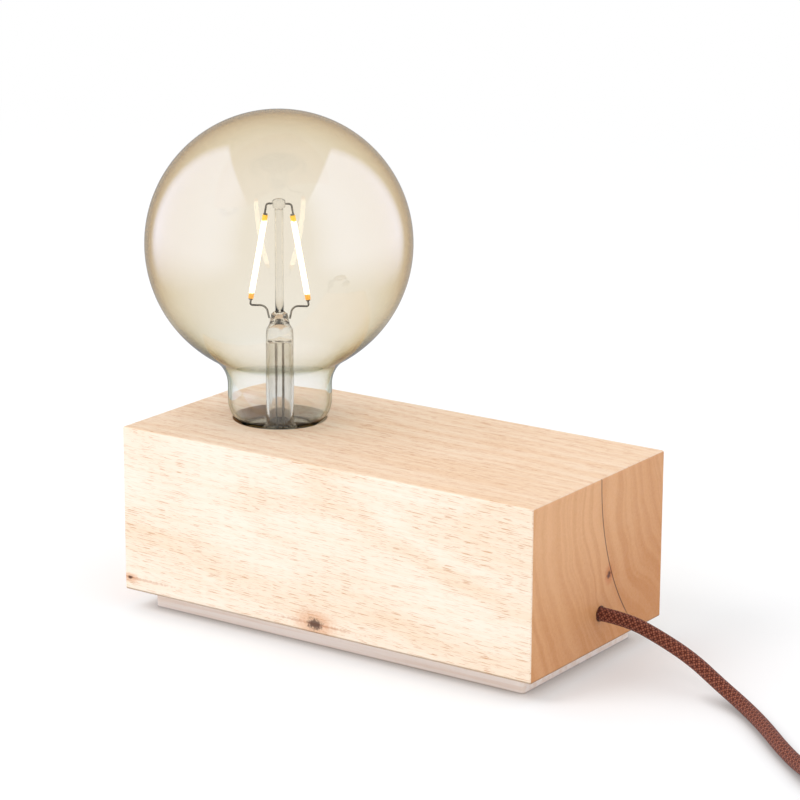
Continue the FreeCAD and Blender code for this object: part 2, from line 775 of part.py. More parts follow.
def make_cap():
    """The bulb's threaded cap, its insulating foot and its contact button. Height 0 is the cap's top rim."""
    place = (BULB_X, "0", CAP_TOP)
    core, shell = "Size.cap_core_radius", "-Size.cap_shell_height"
    inside = "(Size.cap_core_radius - Size.cap_wall)"
    collar_in = "(Size.collar_radius - Size.collar_wall)"
    floor = "(-Size.cap_shell_height + Size.collar_wall)"
    cap = lathe(
        "bulb_cap",
        [
            ("Size.cap_lip_radius", shell),
            (f"{core} - Size.collar_wall", shell),
            (core, floor),
            (core, "-Size.collar_height - Size.collar_wall"),
            ("Size.collar_radius", "-Size.collar_height"),
            ("Size.collar_radius", "0"),
            (collar_in, "0"),
            (collar_in, "-Size.collar_height + Size.collar_wall / 2"),
            (inside, "-Size.collar_height - Size.collar_wall"),
            (inside, floor),
            ("Size.cap_lip_radius", floor),
        ],
        place,
    )
    ridge(cap, core, f"{INSERT_TOP} - {CAP_TOP} + Size.thread_start", "Size.cap_thread_length")

    button_top = "(-Size.cap_height + Size.contact_height)"
    hole = "(Size.cap_lip_radius - Size.running_fit)"
    insulator = lathe(
        "cap_insulator",
        [
            ("Size.wire_radius + Size.running_fit", button_top),
            ("Size.insulator_foot_radius", button_top),
            (hole, shell),
            (hole, f"{floor} + Size.contact_strip"),
            ("Size.wire_radius + Size.running_fit", f"{floor} + Size.contact_strip"),
        ],
        place,
    )
    contact = lathe(
        "cap_contact",
        [
            ("0", "-Size.cap_height"),
            ("Size.contact_radius - Size.contact_height / 2", "-Size.cap_height"),
            ("Size.contact_radius", "-Size.cap_height + Size.contact_height / 2"),
            ("Size.contact_radius", button_top),
            ("0", button_top),
        ],
        place,
    )
    return [cap, insulator, contact]


def envelope(wall, foot):
    """The bulb's outline set in by an expression, from its top down to a foot height, closed on the axis."""
    globe = f"(Size.globe_radius - {wall})"
    neck = f"(Size.neck_radius - {wall})"
    shoulder = f"(Size.shoulder_radius + {wall})"
    heel = f"(Size.heel_radius - {wall})"
    tail = f"(Size.collar_radius - Size.collar_wall - Size.glass_fit - {wall})"
    reach = f"({globe} + {shoulder})"
    drop = f"sqrt({reach}^2 - ({neck} + {shoulder})^2)"
    heel_middle = "(Size.neck_radius - Size.heel_radius)"
    heel_end = f"({heel_middle} + {heel} * cos(Size.heel_angle))"
    heel_foot = f"(Size.heel_height - {heel} * sin(Size.heel_angle))"
    meeting = f"{globe} * ({neck} + {shoulder}) / {reach}"
    meeting_height = f"Size.globe_height - {globe} * {drop} / {reach}"
    return [
        ("0", f"Size.globe_height + {globe}", globe, -1),
        (globe, "Size.globe_height", globe, -1),
        (meeting, meeting_height, shoulder, 1),
        (neck, f"Size.globe_height - {drop}"),
        (neck, "Size.heel_height", heel, -1),
        (heel_end, heel_foot),
        (tail, f"{heel_foot} - ({heel_end} - {tail}) / tan(Size.heel_angle)"),
        (tail, foot),
        ("0", foot),
    ]


def make_glass():
    """The blown globe, the glass mount inside it and the rod that carries the filaments."""
    place = (BULB_X, "0", CAP_TOP)
    globe = lathe("globe", envelope("0", "-Size.tail_depth"), place)
    hollow = sketch_on(globe, "XZ_Plane")
    draw_outline(hollow, envelope("Size.glass_wall", f"-Size.tail_depth - {CUT_OVERRUN}"))
    groove(globe, hollow)

    tail = "(Size.collar_radius - Size.collar_wall - Size.glass_fit - Size.glass_wall - Size.glass_fit)"
    tube_in = "(Size.flare_radius - Size.flare_wall)"
    flare_foot = "(Size.flare_foot_height - Size.tail_depth)"
    ramp = "(Size.pinch_height - Size.flare_height)"
    mount = lathe(
        "stem",
        [
            (f"{tail} - Size.flare_wall", "-Size.tail_depth"),
            (tail, "-Size.tail_depth"),
            ("Size.flare_radius", flare_foot),
            ("Size.flare_radius", "Size.flare_height"),
            ("Size.pinch_radius + Size.flare_wall", f"Size.flare_height + {ramp} / 3"),
            ("Size.pinch_radius", "Size.pinch_height - Size.flare_wall"),
            ("Size.pinch_radius", "Size.pinch_height"),
            ("0", "Size.pinch_height"),
            ("0", "Size.flare_height - Size.flare_radius / 2"),
            (tube_in, "Size.flare_height - Size.flare_radius"),
            (tube_in, flare_foot),
        ],
        place,
    )
    rod = lathe(
        "stem_rod",
        [
            ("0", "Size.pinch_height"),
            ("Size.rod_radius", "Size.pinch_height"),
            ("Size.rod_radius", "Size.hub_height - Size.rod_radius / 2"),
            ("Size.hub_radius", "Size.hub_height"),
            ("Size.hub_radius", "Size.hub_height + Size.hub_thickness"),
            ("Size.rod_radius", "Size.hub_height + Size.hub_thickness + Size.rod_radius / 2"),
            ("0", "Size.hub_height + Size.hub_thickness + Size.rod_radius / 2"),
        ],
        place,
    )
    return [globe, mount, rod]


def in_bulb(reach, height, side):
    """A point in the plane of the filaments, from its distance to the axis and its height above the cap."""
    turn = math.radians(number("Size.filament_turn"))
    along = side * number(reach)
    return Vector(
        number(BULB_X) + along * math.cos(turn),
        along * math.sin(turn),
        number(CAP_TOP) + number(height),
    )


def make_filaments():
    """Both filaments, the wires that hold them at the hub and the wires that feed them from the pinch."""
    made = []
    wire = number("Size.wire_radius")
    slant = "sqrt((Size.filament_foot_reach - Size.filament_top_reach)^2"
    slant += " + (Size.filament_top_height - Size.filament_foot_height)^2)"
    reach = "(Size.inner_lead_reach + Size.wire_radius) / (Size.flare_radius - Size.flare_wall)"
    hollow_top = f"(Size.flare_height - Size.flare_radius / 2 * (1 + {reach}) - Size.running_fit)"
    for i, side in enumerate((-1, 1), start=1):
        top = in_bulb("Size.filament_top_reach", "Size.filament_top_height", side)
        foot = in_bulb("Size.filament_foot_reach", "Size.filament_foot_height", side)
        filament = doc.addObject("Part::Cylinder", f"filament_{i}")
        filament.setExpression("Radius", "Size.filament_radius")
        filament.setExpression("Height", slant)
        filament.Placement = Placement(top, Rotation(Vector(0, 0, 1), foot - top))
        made.append(filament)
        slope = (top - foot).normalize()
        hub_mid = "Size.hub_height + Size.hub_thickness / 2"
        hook = top + slope * ((number(CAP_TOP) + number(hub_mid) - top.z) / slope.z)
        start = in_bulb("Size.hub_radius + Size.running_fit", hub_mid, side)
        made.append(feature(f"support_wire_{i}", tube([start, hook, top], wire, show=False)))
        out = in_bulb("Size.pinch_radius + Size.flare_wall", "Size.lead_out_height", side)
        lift = in_bulb("Size.pinch_radius + 2 * Size.flare_wall", "Size.lead_height", side)
        arm = foot - slope * ((foot.z - number(CAP_TOP) - number("Size.lead_height")) / slope.z)
        made.append(feature(f"lead_wire_{i}", tube([out, lift, arm, foot], wire, show=False)))
        lead = doc.addObject("Part::Cylinder", f"inner_lead_{i}")
        lead.setExpression("Radius", "Size.wire_radius")
        lead.setExpression("Height", f"{hollow_top} + Size.collar_height + Size.contact_strip")
        lead.setExpression("Placement.Base.x", f"{BULB_X} + {side} * Size.inner_lead_reach")
        lead.setExpression("Placement.Base.z", f"{CAP_TOP} - Size.collar_height - Size.contact_strip")
        made.append(lead)
    return made


def make_driver():
    """The driver's circuit board, upright inside the cap, and its capacitor."""
    board = doc.addObject("Part::Box", "driver_board")
    top = f"{CAP_TOP} - Size.collar_height - Size.contact_strip"
    inside = "(Size.cap_core_radius - Size.cap_wall - Size.board_fit)"
    half_width = f"sqrt({inside}^2 - (Size.board_thickness / 2)^2)"
    board.setExpression("Length", f"2 * {half_width}")
    board.setExpression("Width", "Size.board_thickness")
    board.setExpression("Height", "Size.board_height")
    board.setExpression("Placement.Base.x", f"{BULB_X} - {half_width}")
    board.setExpression("Placement.Base.y", "-Size.board_thickness / 2")
    board.setExpression("Placement.Base.z", f"{top} - Size.board_height")
    capacitor = doc.addObject("Part::Cylinder", "driver_capacitor")
    capacitor.setExpression("Radius", "Size.capacitor_radius")
    capacitor.setExpression("Height", "Size.capacitor_height")
    capacitor.setExpression("Placement.Base.x", BULB_X)
    capacitor.setExpression(
        "Placement.Base.y", "Size.board_thickness / 2 + Size.capacitor_radius + Size.running_fit"
    )
    capacitor.setExpression("Placement.Base.z", f"{top} - Size.board_height")
    return [board, capacitor]


# ---------------------------------------------------------------- tubes


def feature(label, shape, place=None):
    """A sub-part whose shape comes from code."""
    made = doc.addObject("Part::Feature", label)
    made.Label = label
    made.Shape = shape
    made.Placement = place or Placement()
    return made


def bend(before, corner, after):
    """The tangent arc at a corner: its two ends, the point half way and its radius."""
    into, out = (before - corner), (after - corner)
    run = min(into.Length, out.Length)
    half_turn = (math.pi - into.getAngle(out)) / 2
    into.normalize()
    out.normalize()
    tangent = BEND_SHARE * run
    radius = tangent / math.tan(half_turn)
    inward = (into + out).normalize()
    middle = corner + inward * (radius / math.cos(half_turn) - radius)
    return corner + into * tangent, middle, corner + out * tangent, radius


def swept(edges, start, direction, radius):
    """A solid tube of one radius along a wire."""
    circle = Part.Wire(Part.makeCircle(radius, start, direction))
    solid = Part.Wire(edges).makePipeShell([circle], True, False)
    return solid if solid.Volume > 0 else solid.reversed()


def tube(points, radius, show=True, label=""):
    """A tube on straight runs joined by tangent arcs, each as large as its runs allow."""
    points = [Vector(p) for p in points]
    edges, here, radii = [], points[0], []
    for before, corner, after in zip(points, points[1:], points[2:]):
        first, middle, last, size = bend(before, corner, after)
        edges += [Part.LineSegment(here, first).toShape(), Part.Arc(first, middle, last).toShape()]
        here = last
        radii.append(size)
    edges.append(Part.LineSegment(here, points[-1]).toShape())
    solid = swept(edges, points[0], points[1] - points[0], radius)
    length = sum(edge.Length for edge in edges)
    if show:
        report_tube(label, solid, radius, length)
        print(f"{label}: arc radii", ", ".join(f"{size:.0f}" for size in radii))
    return solid


def report_tube(label, solid, radius, length):
    """Compare a tube's volume with its section times its length."""
    share = solid.Volume / (math.pi * radius**2 * length)
    print(f"{label}: length {length:.1f}, volume over section times length {share:.4f}")
    if abs(share - 1) > 0.01:
        raise RuntimeError(f"{label} isn't a plain tube")


def biarc(start, direction, end, end_direction):
    """Two arcs that lead from start to end, tangent to both directions and to each other."""
    reach = (end - start).Length / 2
    first_corner = start + direction * reach
    last_corner = end - end_direction * reach
    joint = (first_corner + last_corner) * 0.5
    arcs = []
    for a, corner, b in ((start, first_corner, joint), (joint, last_corner, end)):
        inward = ((a + b) * 0.5 - corner).normalize()
        half_turn = (math.pi - (a - corner).getAngle(b - corner)) / 2
        radius = (a - corner).Length / math.tan(half_turn)
        middle = corner + inward * (radius / math.cos(half_turn) - radius)
        arcs.append(Part.Arc(a, middle, b).toShape())
    return arcs


def least_gap(wire, diameter):
    """The least space between a tube's stretches, from points along its middle line."""
    per_diameter = 4
    spots = wire.discretize(Distance=diameter / per_diameter)
    skip = 3 * per_diameter
    least = math.inf
    for i, a in enumerate(spots):
        for b in spots[i + skip :]:
            least = min(least, a.distanceToPoint(b))
    return least - diameter


def make_coil():
    """The put-away length, wound inwards in a lower layer and outwards in an upper one."""
    diameter, pitch = number("Size.cord_diameter"), number("Size.coil_pitch")
    inner, rise = number("Size.coil_inner_radius"), number("Size.coil_layer")
    run, lead = number("Size.coil_lead"), Vector(CORD_TO_COIL[-1])
    outer = inner + number("Size.coil_draw_in") + COIL_HALF_TURNS * pitch / 2
    centre = lead + Vector(run, outer, 0)
    reaches = [*(outer - k * pitch / 2 for k in range(COIL_HALF_TURNS)), inner]
    reaches += reaches[::-1]
    heights = [0.0] * (COIL_HALF_TURNS + 1) + [rise] * (COIL_HALF_TURNS + 1)
    spots = []
    for k, (reach, height) in enumerate(zip(reaches, heights)):
        spots.append(centre + Vector(0, -reach if k % 2 == 0 else reach, height))
    edges = [Part.LineSegment(lead, spots[0]).toShape()]
    for k, (here, there) in enumerate(zip(spots, spots[1:])):
        ahead = Vector(1 if k % 2 == 0 else -1, 0, 0)
        edges += biarc(here, ahead, there, -ahead)
    tail = spots[-1] + Vector(-run, 0, 0)
    edges.append(Part.LineSegment(spots[-1], tail).toShape())
    solid = swept(edges, lead, Vector(1, 0, 0), diameter / 2)
    report_tube("cord_coil", solid, diameter / 2, sum(edge.Length for edge in edges))
    print(f"cord_coil: least gap to itself {least_gap(Part.Wire(edges), diameter):.2f}, ends at", tail)
    return feature("cord_coil", solid)


def make_cords():
    """The cord inside the block with its two cores, and its free stretches."""
    radius = number(CORD_RADIUS)
    sheath = doc.addObject("Part::Cylinder", "cord_inside")
    sheath.Placement = Placement(Vector(), Rotation(Vector(0, 1, 0), 90))
    sheath.setExpression("Radius", CORD_RADIUS)
    sheath.setExpression("Height", "Size.cord_inside_length")
    sheath.setExpression("Placement.Base.x", CORE_START)
    sheath.setExpression("Placement.Base.y", "Size.cord_offset")
    sheath.setExpression("Placement.Base.z", "Size.cord_height")
    made = [sheath]
    start, height = number(CORE_START), number("Size.cord_height")
    offset, spread = number("Size.cord_offset"), number("Size.core_spread")
    bulb, floor = number(BULB_X), number("Size.plate_thickness")
    low = floor + number("Size.core_lift")
    step = (start - bulb) / 4
    for label, side in (("live_wire", -1), ("neutral_wire", 1)):
        aside = side * spread
        beside = offset + side * number("Size.core_radius + Size.running_fit")
        route = [
            (start, beside, height),
            (start - step / 2, beside, height),
            (start - 1.5 * step, offset / 2 + aside, (height + low) / 2),
            (start - 2.5 * step, aside, low),
            (bulb, aside, low),
            (bulb, aside, number(TERMINAL_FOOT)),
        ]
        made.append(feature(label, tube(route, number("Size.core_radius"), show=False)))
    for label, route in (
        ("cord_to_switch", CORD_TO_SWITCH),
        ("cord_to_coil", CORD_TO_COIL),
        ("cord_to_plug", CORD_TO_PLUG),
    ):
        made.append(feature(label, tube(route, radius, label=label)))
    return [*made, make_coil()]


# ---------------------------------------------------------------- hand switch


def switch_outline(wall):
    """The switch's outline from above, set in by an expression."""
    end = f"(Size.switch_length / 2 - {wall})"
    side = f"(Size.switch_width / 2 - {wall})"
    nose = f"(Size.switch_end_width / 2 - {wall})"
    shoulder = "(Size.switch_length / 2 - Size.switch_shoulder)"
    return [
        (end, f"-{nose}"),
        (end, nose),
        (shoulder, side),
        (f"-{shoulder}", side),
        (f"-{end}", nose),
        (f"-{end}", f"-{nose}"),
        (f"-{shoulder}", f"-{side}"),
        (shoulder, f"-{side}"),
    ]


def switch_shell(label, low, high, floor_first):
    """One half of the switch: an open box with posts for its two screws and a bore at each end."""
    place = (str(SWITCH_PLACE[0]), str(SWITCH_PLACE[1]), "0")
    body = start_body(label, place)
    outline = sketch_on(body, "XY_Plane", low)
    draw_outline(outline, switch_outline("0"))
    pad(body, outline, f"{high} - {low}")
    soften(body, "Size.switch_corner", upright)
    outside = low if floor_first else high

    def rim(edge):
        box = edge.BoundBox
        return abs(box.ZMax - number(outside)) < TOLERANCE and box.ZLength < TOLERANCE

    soften(body, "Size.switch_edge", rim)
    inside = sketch_on(body, "XY_Plane", f"{low} + Size.switch_wall" if floor_first else low)
    draw_outline(inside, switch_outline("Size.switch_wall"))
    pocket(body, inside, f"{high} - {low} - Size.switch_wall")
    posts = sketch_on(body, "XY_Plane", f"{low} + Size.switch_wall / 2" if floor_first else low)
    for side in ("-", "+"):
        draw_circle(posts, f"0 {side} Size.post_across", f"0 {side} Size.post_aside", "Size.post_radius")
    pad(body, posts, f"{high} - {low} - Size.switch_wall / 2")
    bores = sketch_on(body, "YZ_Plane")
    draw_circle(bores, "0", "Size.switch_split", "Size.relief_neck_radius + Size.running_fit")
    pocket(body, bores, f"Size.switch_length + 2 * {CUT_OVERRUN}", symmetric=True)
    return body


def make_switch():
    """The hand switch on the cord: two shells, a rocker on its pin, contacts, cores, reliefs and screws."""
    x, y = SWITCH_PLACE
    base = switch_shell("switch_base", "0", "Size.switch_split", True)
    holes = sketch_on(base, "XY_Plane")
    heads = sketch_on(base, "XY_Plane")
    for side in ("-", "+"):
        across, aside = f"0 {side} Size.post_across", f"0 {side} Size.post_aside"
        draw_circle(holes, across, aside, "Size.post_screw_radius + Size.wood_fit")
        draw_circle(heads, across, aside, "Size.post_screw_head + Size.wood_fit")
    pocket(base, holes, "Size.switch_split")
    pocket(base, heads, "Size.switch_wall")

    cover = switch_shell("switch_cover", "Size.switch_split", "Size.switch_height", False)
    tapped = sketch_on(cover, "XY_Plane", "Size.switch_split")
    for side in ("-", "+"):
        across, aside = f"0 {side} Size.post_across", f"0 {side} Size.post_aside"
        draw_circle(tapped, across, aside, "Size.post_screw_radius + Size.wood_fit")
    pocket(cover, tapped, "Size.switch_wall + Size.post_screw_length + Size.running_fit - Size.switch_split")
    ear_in = "(Size.rocker_half_width + 1.5 * Size.rocker_slot_gap)"
    ear_out = f"({ear_in} + Size.ear_thickness)"
    for side in (-1, 1):
        ears = sketch_on(cover, "XY_Plane", "Size.pivot_height - Size.ear_drop")
        corners = rectangle(
            "-Size.ear_half_length", "Size.ear_half_length", f"{side} * {ear_in}", f"{side} * {ear_out}"
        )
        draw_outline(ears, corners if side > 0 else corners[::-1])
        pad(cover, ears, "Size.switch_height - Size.pivot_height + Size.ear_drop - Size.switch_wall / 2")
    slot = sketch_on(cover, "XY_Plane", "Size.pivot_height")
    half_length = "(Size.rocker_half_length + Size.rocker_swing_gap)"
    half_width = "(Size.rocker_half_width + Size.rocker_slot_gap)"
    draw_outline(slot, rectangle(f"-{half_length}", half_length, f"-{half_width}", half_width))
    pocket(cover, slot, "Size.switch_height")
    pin_hole = sketch_on(cover, "XZ_Plane")
    draw_circle(pin_hole, "0", "Size.pivot_height", "Size.pin_radius + Size.running_fit")
    pocket(cover, pin_hole, f"2 * {ear_out} + Size.running_fit", symmetric=True)

    tilt = Rotation(Vector(0, 1, 0), number("Size.rocker_tilt"))
    rocker = start_body("switch_rocker", (str(x), str(y), "Size.pivot_height"), tilt)
    side_view = sketch_on(rocker, "XZ_Plane")
    boss = "(2 * Size.pin_radius + Size.running_fit)"
    waist = "(Size.rocker_crown - Size.rocker_dip + Size.switch_wall / 2)"
    draw_outline(
        side_view,
        [
            (f"-{boss}", f"-{boss}"),
            (boss, f"-{boss}"),
            (boss, f"-{boss} / 2"),
            ("Size.rocker_half_length", waist),
            ("Size.rocker_half_length", "Size.rocker_crown"),
            ("0", "Size.rocker_dip"),
            ("-Size.rocker_half_length", "Size.rocker_crown"),
            ("-Size.rocker_half_length", waist),
            (f"-{boss}", f"-{boss} / 2"),
        ],
    )
    draw_circle(side_view, "0", "0", "Size.pin_radius + Size.running_fit")
    pad(rocker, side_view, "2 * Size.rocker_half_width", symmetric=True)

    pin = doc.addObject("Part::Cylinder", "rocker_pin")
    pin.setExpression("Radius", "Size.pin_radius")
    pin.setExpression("Height", "Size.pin_length")
    pin.Placement = Placement(Vector(x, y, 0), Rotation(Vector(1, 0, 0), -90))
    pin.setExpression("Placement.Base.y", f"{y} - Size.pin_length / 2")
    pin.setExpression("Placement.Base.z", "Size.pivot_height")

    made = [base, cover, rocker, pin]
    for i, side in enumerate((-1, 1), start=1):
        made.append(
            pan_screw(
                f"switch_screw_{i}",
                (f"{x} + {side} * Size.post_across", f"{y} + {side} * Size.post_aside", "Size.switch_wall"),
                None,
                "Size.post_screw_radius",
                "Size.post_screw_head",
                "Size.post_screw_radius",
                "Size.post_screw_length",
            )
        )
        made.append(make_relief(f"switch_relief_{i}", x, y, side))
        block = doc.addObject("Part::Box", f"switch_contact_{i}")
        near = "Size.switch_terminal_from_middle"
        start = near if side > 0 else f"-{near} - Size.switch_terminal_length"
        block.setExpression("Length", "Size.switch_terminal_length")
        block.setExpression("Width", "Size.switch_terminal_width")
        block.setExpression("Height", "Size.switch_terminal_height")
        block.setExpression("Placement.Base.x", f"{x} + {start}")
        block.setExpression("Placement.Base.y", f"{y} - Size.switch_terminal_width")
        block.setExpression("Placement.Base.z", "Size.switch_wall")
        made.append(block)
    return [*made, *make_switch_cores(x, y)]


def make_relief(label, x, y, side):
    """A tapered rubber sleeve, held by its flange in the switch's end wall."""
    wall_out, wall_in = "(Size.switch_length / 2)", "(Size.switch_length / 2 - Size.switch_wall)"
    flange = f"({wall_in} - Size.running_fit)"
    corners = [
        ("0", f"{flange} - Size.relief_flange"),
        ("Size.relief_flange_radius", f"{flange} - Size.relief_flange"),
        ("Size.relief_flange_radius", flange),
        ("Size.relief_neck_radius", flange),
        ("Size.relief_neck_radius", f"{wall_out} + Size.running_fit"),
        ("Size.relief_root_radius", f"{wall_out} + Size.running_fit"),
        ("Size.relief_root_radius", f"{wall_out} + Size.relief_flange"),
        ("Size.relief_tip_radius", f"{wall_out} + Size.relief_length"),
        ("0", f"{wall_out} + Size.relief_length"),
    ]
    turn = Rotation(Vector(0, 1, 0), 90 * side)
    return lathe(label, corners, (str(x), str(y), "Size.switch_split"), turn)


def make_switch_cores(x, y):
    """The cord's cores inside the switch: the neutral goes straight through, the live meets both contacts."""
    reach = "(Size.switch_length / 2 - Size.switch_wall - Size.running_fit - Size.relief_flange)"
    stop = "(Size.switch_terminal_from_middle + Size.switch_terminal_length)"
    aside = "Size.switch_terminal_width / 2"
    level = "Size.switch_wall + Size.switch_terminal_height - Size.core_radius"
    made = []
    for label, start, length, y_shift in (
        ("switch_neutral_core", f"-{reach}", f"2 * {reach}", f"+ {aside}"),
        ("switch_live_core_1", f"-{reach}", f"{reach} - {stop}", f"- {aside}"),
        ("switch_live_core_2", stop, f"{reach} - {stop}", f"- {aside}"),
    ):
        core = doc.addObject("Part::Cylinder", label)
        core.Placement = Placement(Vector(), Rotation(Vector(0, 1, 0), 90))
        core.setExpression("Radius", "Size.core_radius")
        core.setExpression("Height", length)
        core.setExpression("Placement.Base.x", f"{x} + {start}")
        core.setExpression("Placement.Base.y", f"{y} {y_shift}")
        core.setExpression("Placement.Base.z", level)
        made.append(core)
    return made


# ---------------------------------------------------------------- plug


def make_plug():
    """The flat two-pin plug with its moulded strain relief. Its pins point along -X."""
    x, y = PLUG_PLACE
    turn = Rotation(Vector(0, 0, 1), 180)
    body = start_body("plug_body", (str(x), str(y), "Size.plug_thickness / 2"), turn)
    face = "(Size.plug_relief + Size.plug_length)"
    waist = f"({face} - Size.plug_waist_from_face)"
    flange = f"({face} - Size.plug_flange)"
    half, slim, tail = "Size.plug_face_width / 2", "Size.plug_waist_width / 2", "Size.plug_tail_width / 2"
    outline = sketch_on(body, "XY_Plane")
    draw_outline(
        outline,
        [
            ("Size.plug_relief", f"-{tail}"),
            (waist, f"-{slim}"),
            (flange, f"-{half}"),
            (face, f"-{half}"),
            (face, half),
            (flange, half),
            (waist, slim),
            ("Size.plug_relief", tail),
        ],
    )
    pad(body, outline, "Size.plug_thickness", symmetric=True)
    relief_end = number("Size.plug_relief")
    soften(body, "Size.plug_edge", lambda edge: edge.BoundBox.XMax > relief_end + TOLERANCE)
    relief = sketch_on(body, "XY_Plane")
    draw_outline(
        relief,
        [
            ("0", "0"),
            (f"Size.plug_relief + {CUT_OVERRUN}", "0"),
            (f"Size.plug_relief + {CUT_OVERRUN}", "Size.plug_relief_root_radius"),
            ("Size.plug_relief", "Size.plug_relief_root_radius"),
            ("0", "Size.relief_tip_radius"),
        ],
    )
    revolve(body, relief, "H_Axis")
    made = [body]
    for i, side in enumerate((-1, 1), start=1):
        sleeve, tip = "Size.plug_pin_sleeve_radius", "Size.plug_pin_radius"
        corners = [
            ("0", "0"),
            (sleeve, "0"),
            (sleeve, "Size.plug_pin_sleeve"),
            (tip, "Size.plug_pin_sleeve"),
            (tip, f"Size.plug_pin_length - {tip} / 2"),
            (f"{tip} / 2", "Size.plug_pin_length"),
            ("0", "Size.plug_pin_length"),
        ]
        place = (f"{x} - {face}", f"{y} + {side} * Size.plug_pin_spacing / 2", "Size.plug_thickness / 2")
        made.append(lathe(f"plug_pin_{i}", corners, place, Rotation(Vector(0, 1, 0), -90)))
    return made


# ---------------------------------------------------------------- assembly


def check_and_write(nodes):
    """Stop where an object failed, and write each sub-part to its file."""
    doc.recompute()
    for thing in doc.Objects:
        if {"Invalid", "Error"} & set(thing.State):
            raise RuntimeError(f"{thing.Label} failed: {thing.State}")
    for node in nodes:
        shape = node.Shape
        if shape.isNull() or not shape.isValid() or shape.Volume <= 0:
            raise RuntimeError(f"{node.Label} has no valid shape")
    for node in nodes:
        node.Shape.exportStep(f"parts/{node.Label}.step")
    print(len(nodes), "sub-parts written")


check_and_write(
    [
        make_block(),
        make_plate(),
        *make_plate_screws(),
        *make_holder(),
        *make_contacts(),
        *make_mounting(),
        *make_cord_grip(),
        *make_cap(),
        *make_glass(),
        *make_filaments(),
        *make_driver(),
        *make_cords(),
        *make_switch(),
        *make_plug(),
    ]
)
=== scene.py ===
"""Looks of a bare bulb table lamp: a hardwood block, a globe filament bulb and a braided cord, in metres."""

import json
import logging
import math
from abc import ABC, abstractmethod
from collections.abc import Iterable, Mapping, Sequence
from dataclasses import dataclass, field
from enum import Enum
from typing import Any

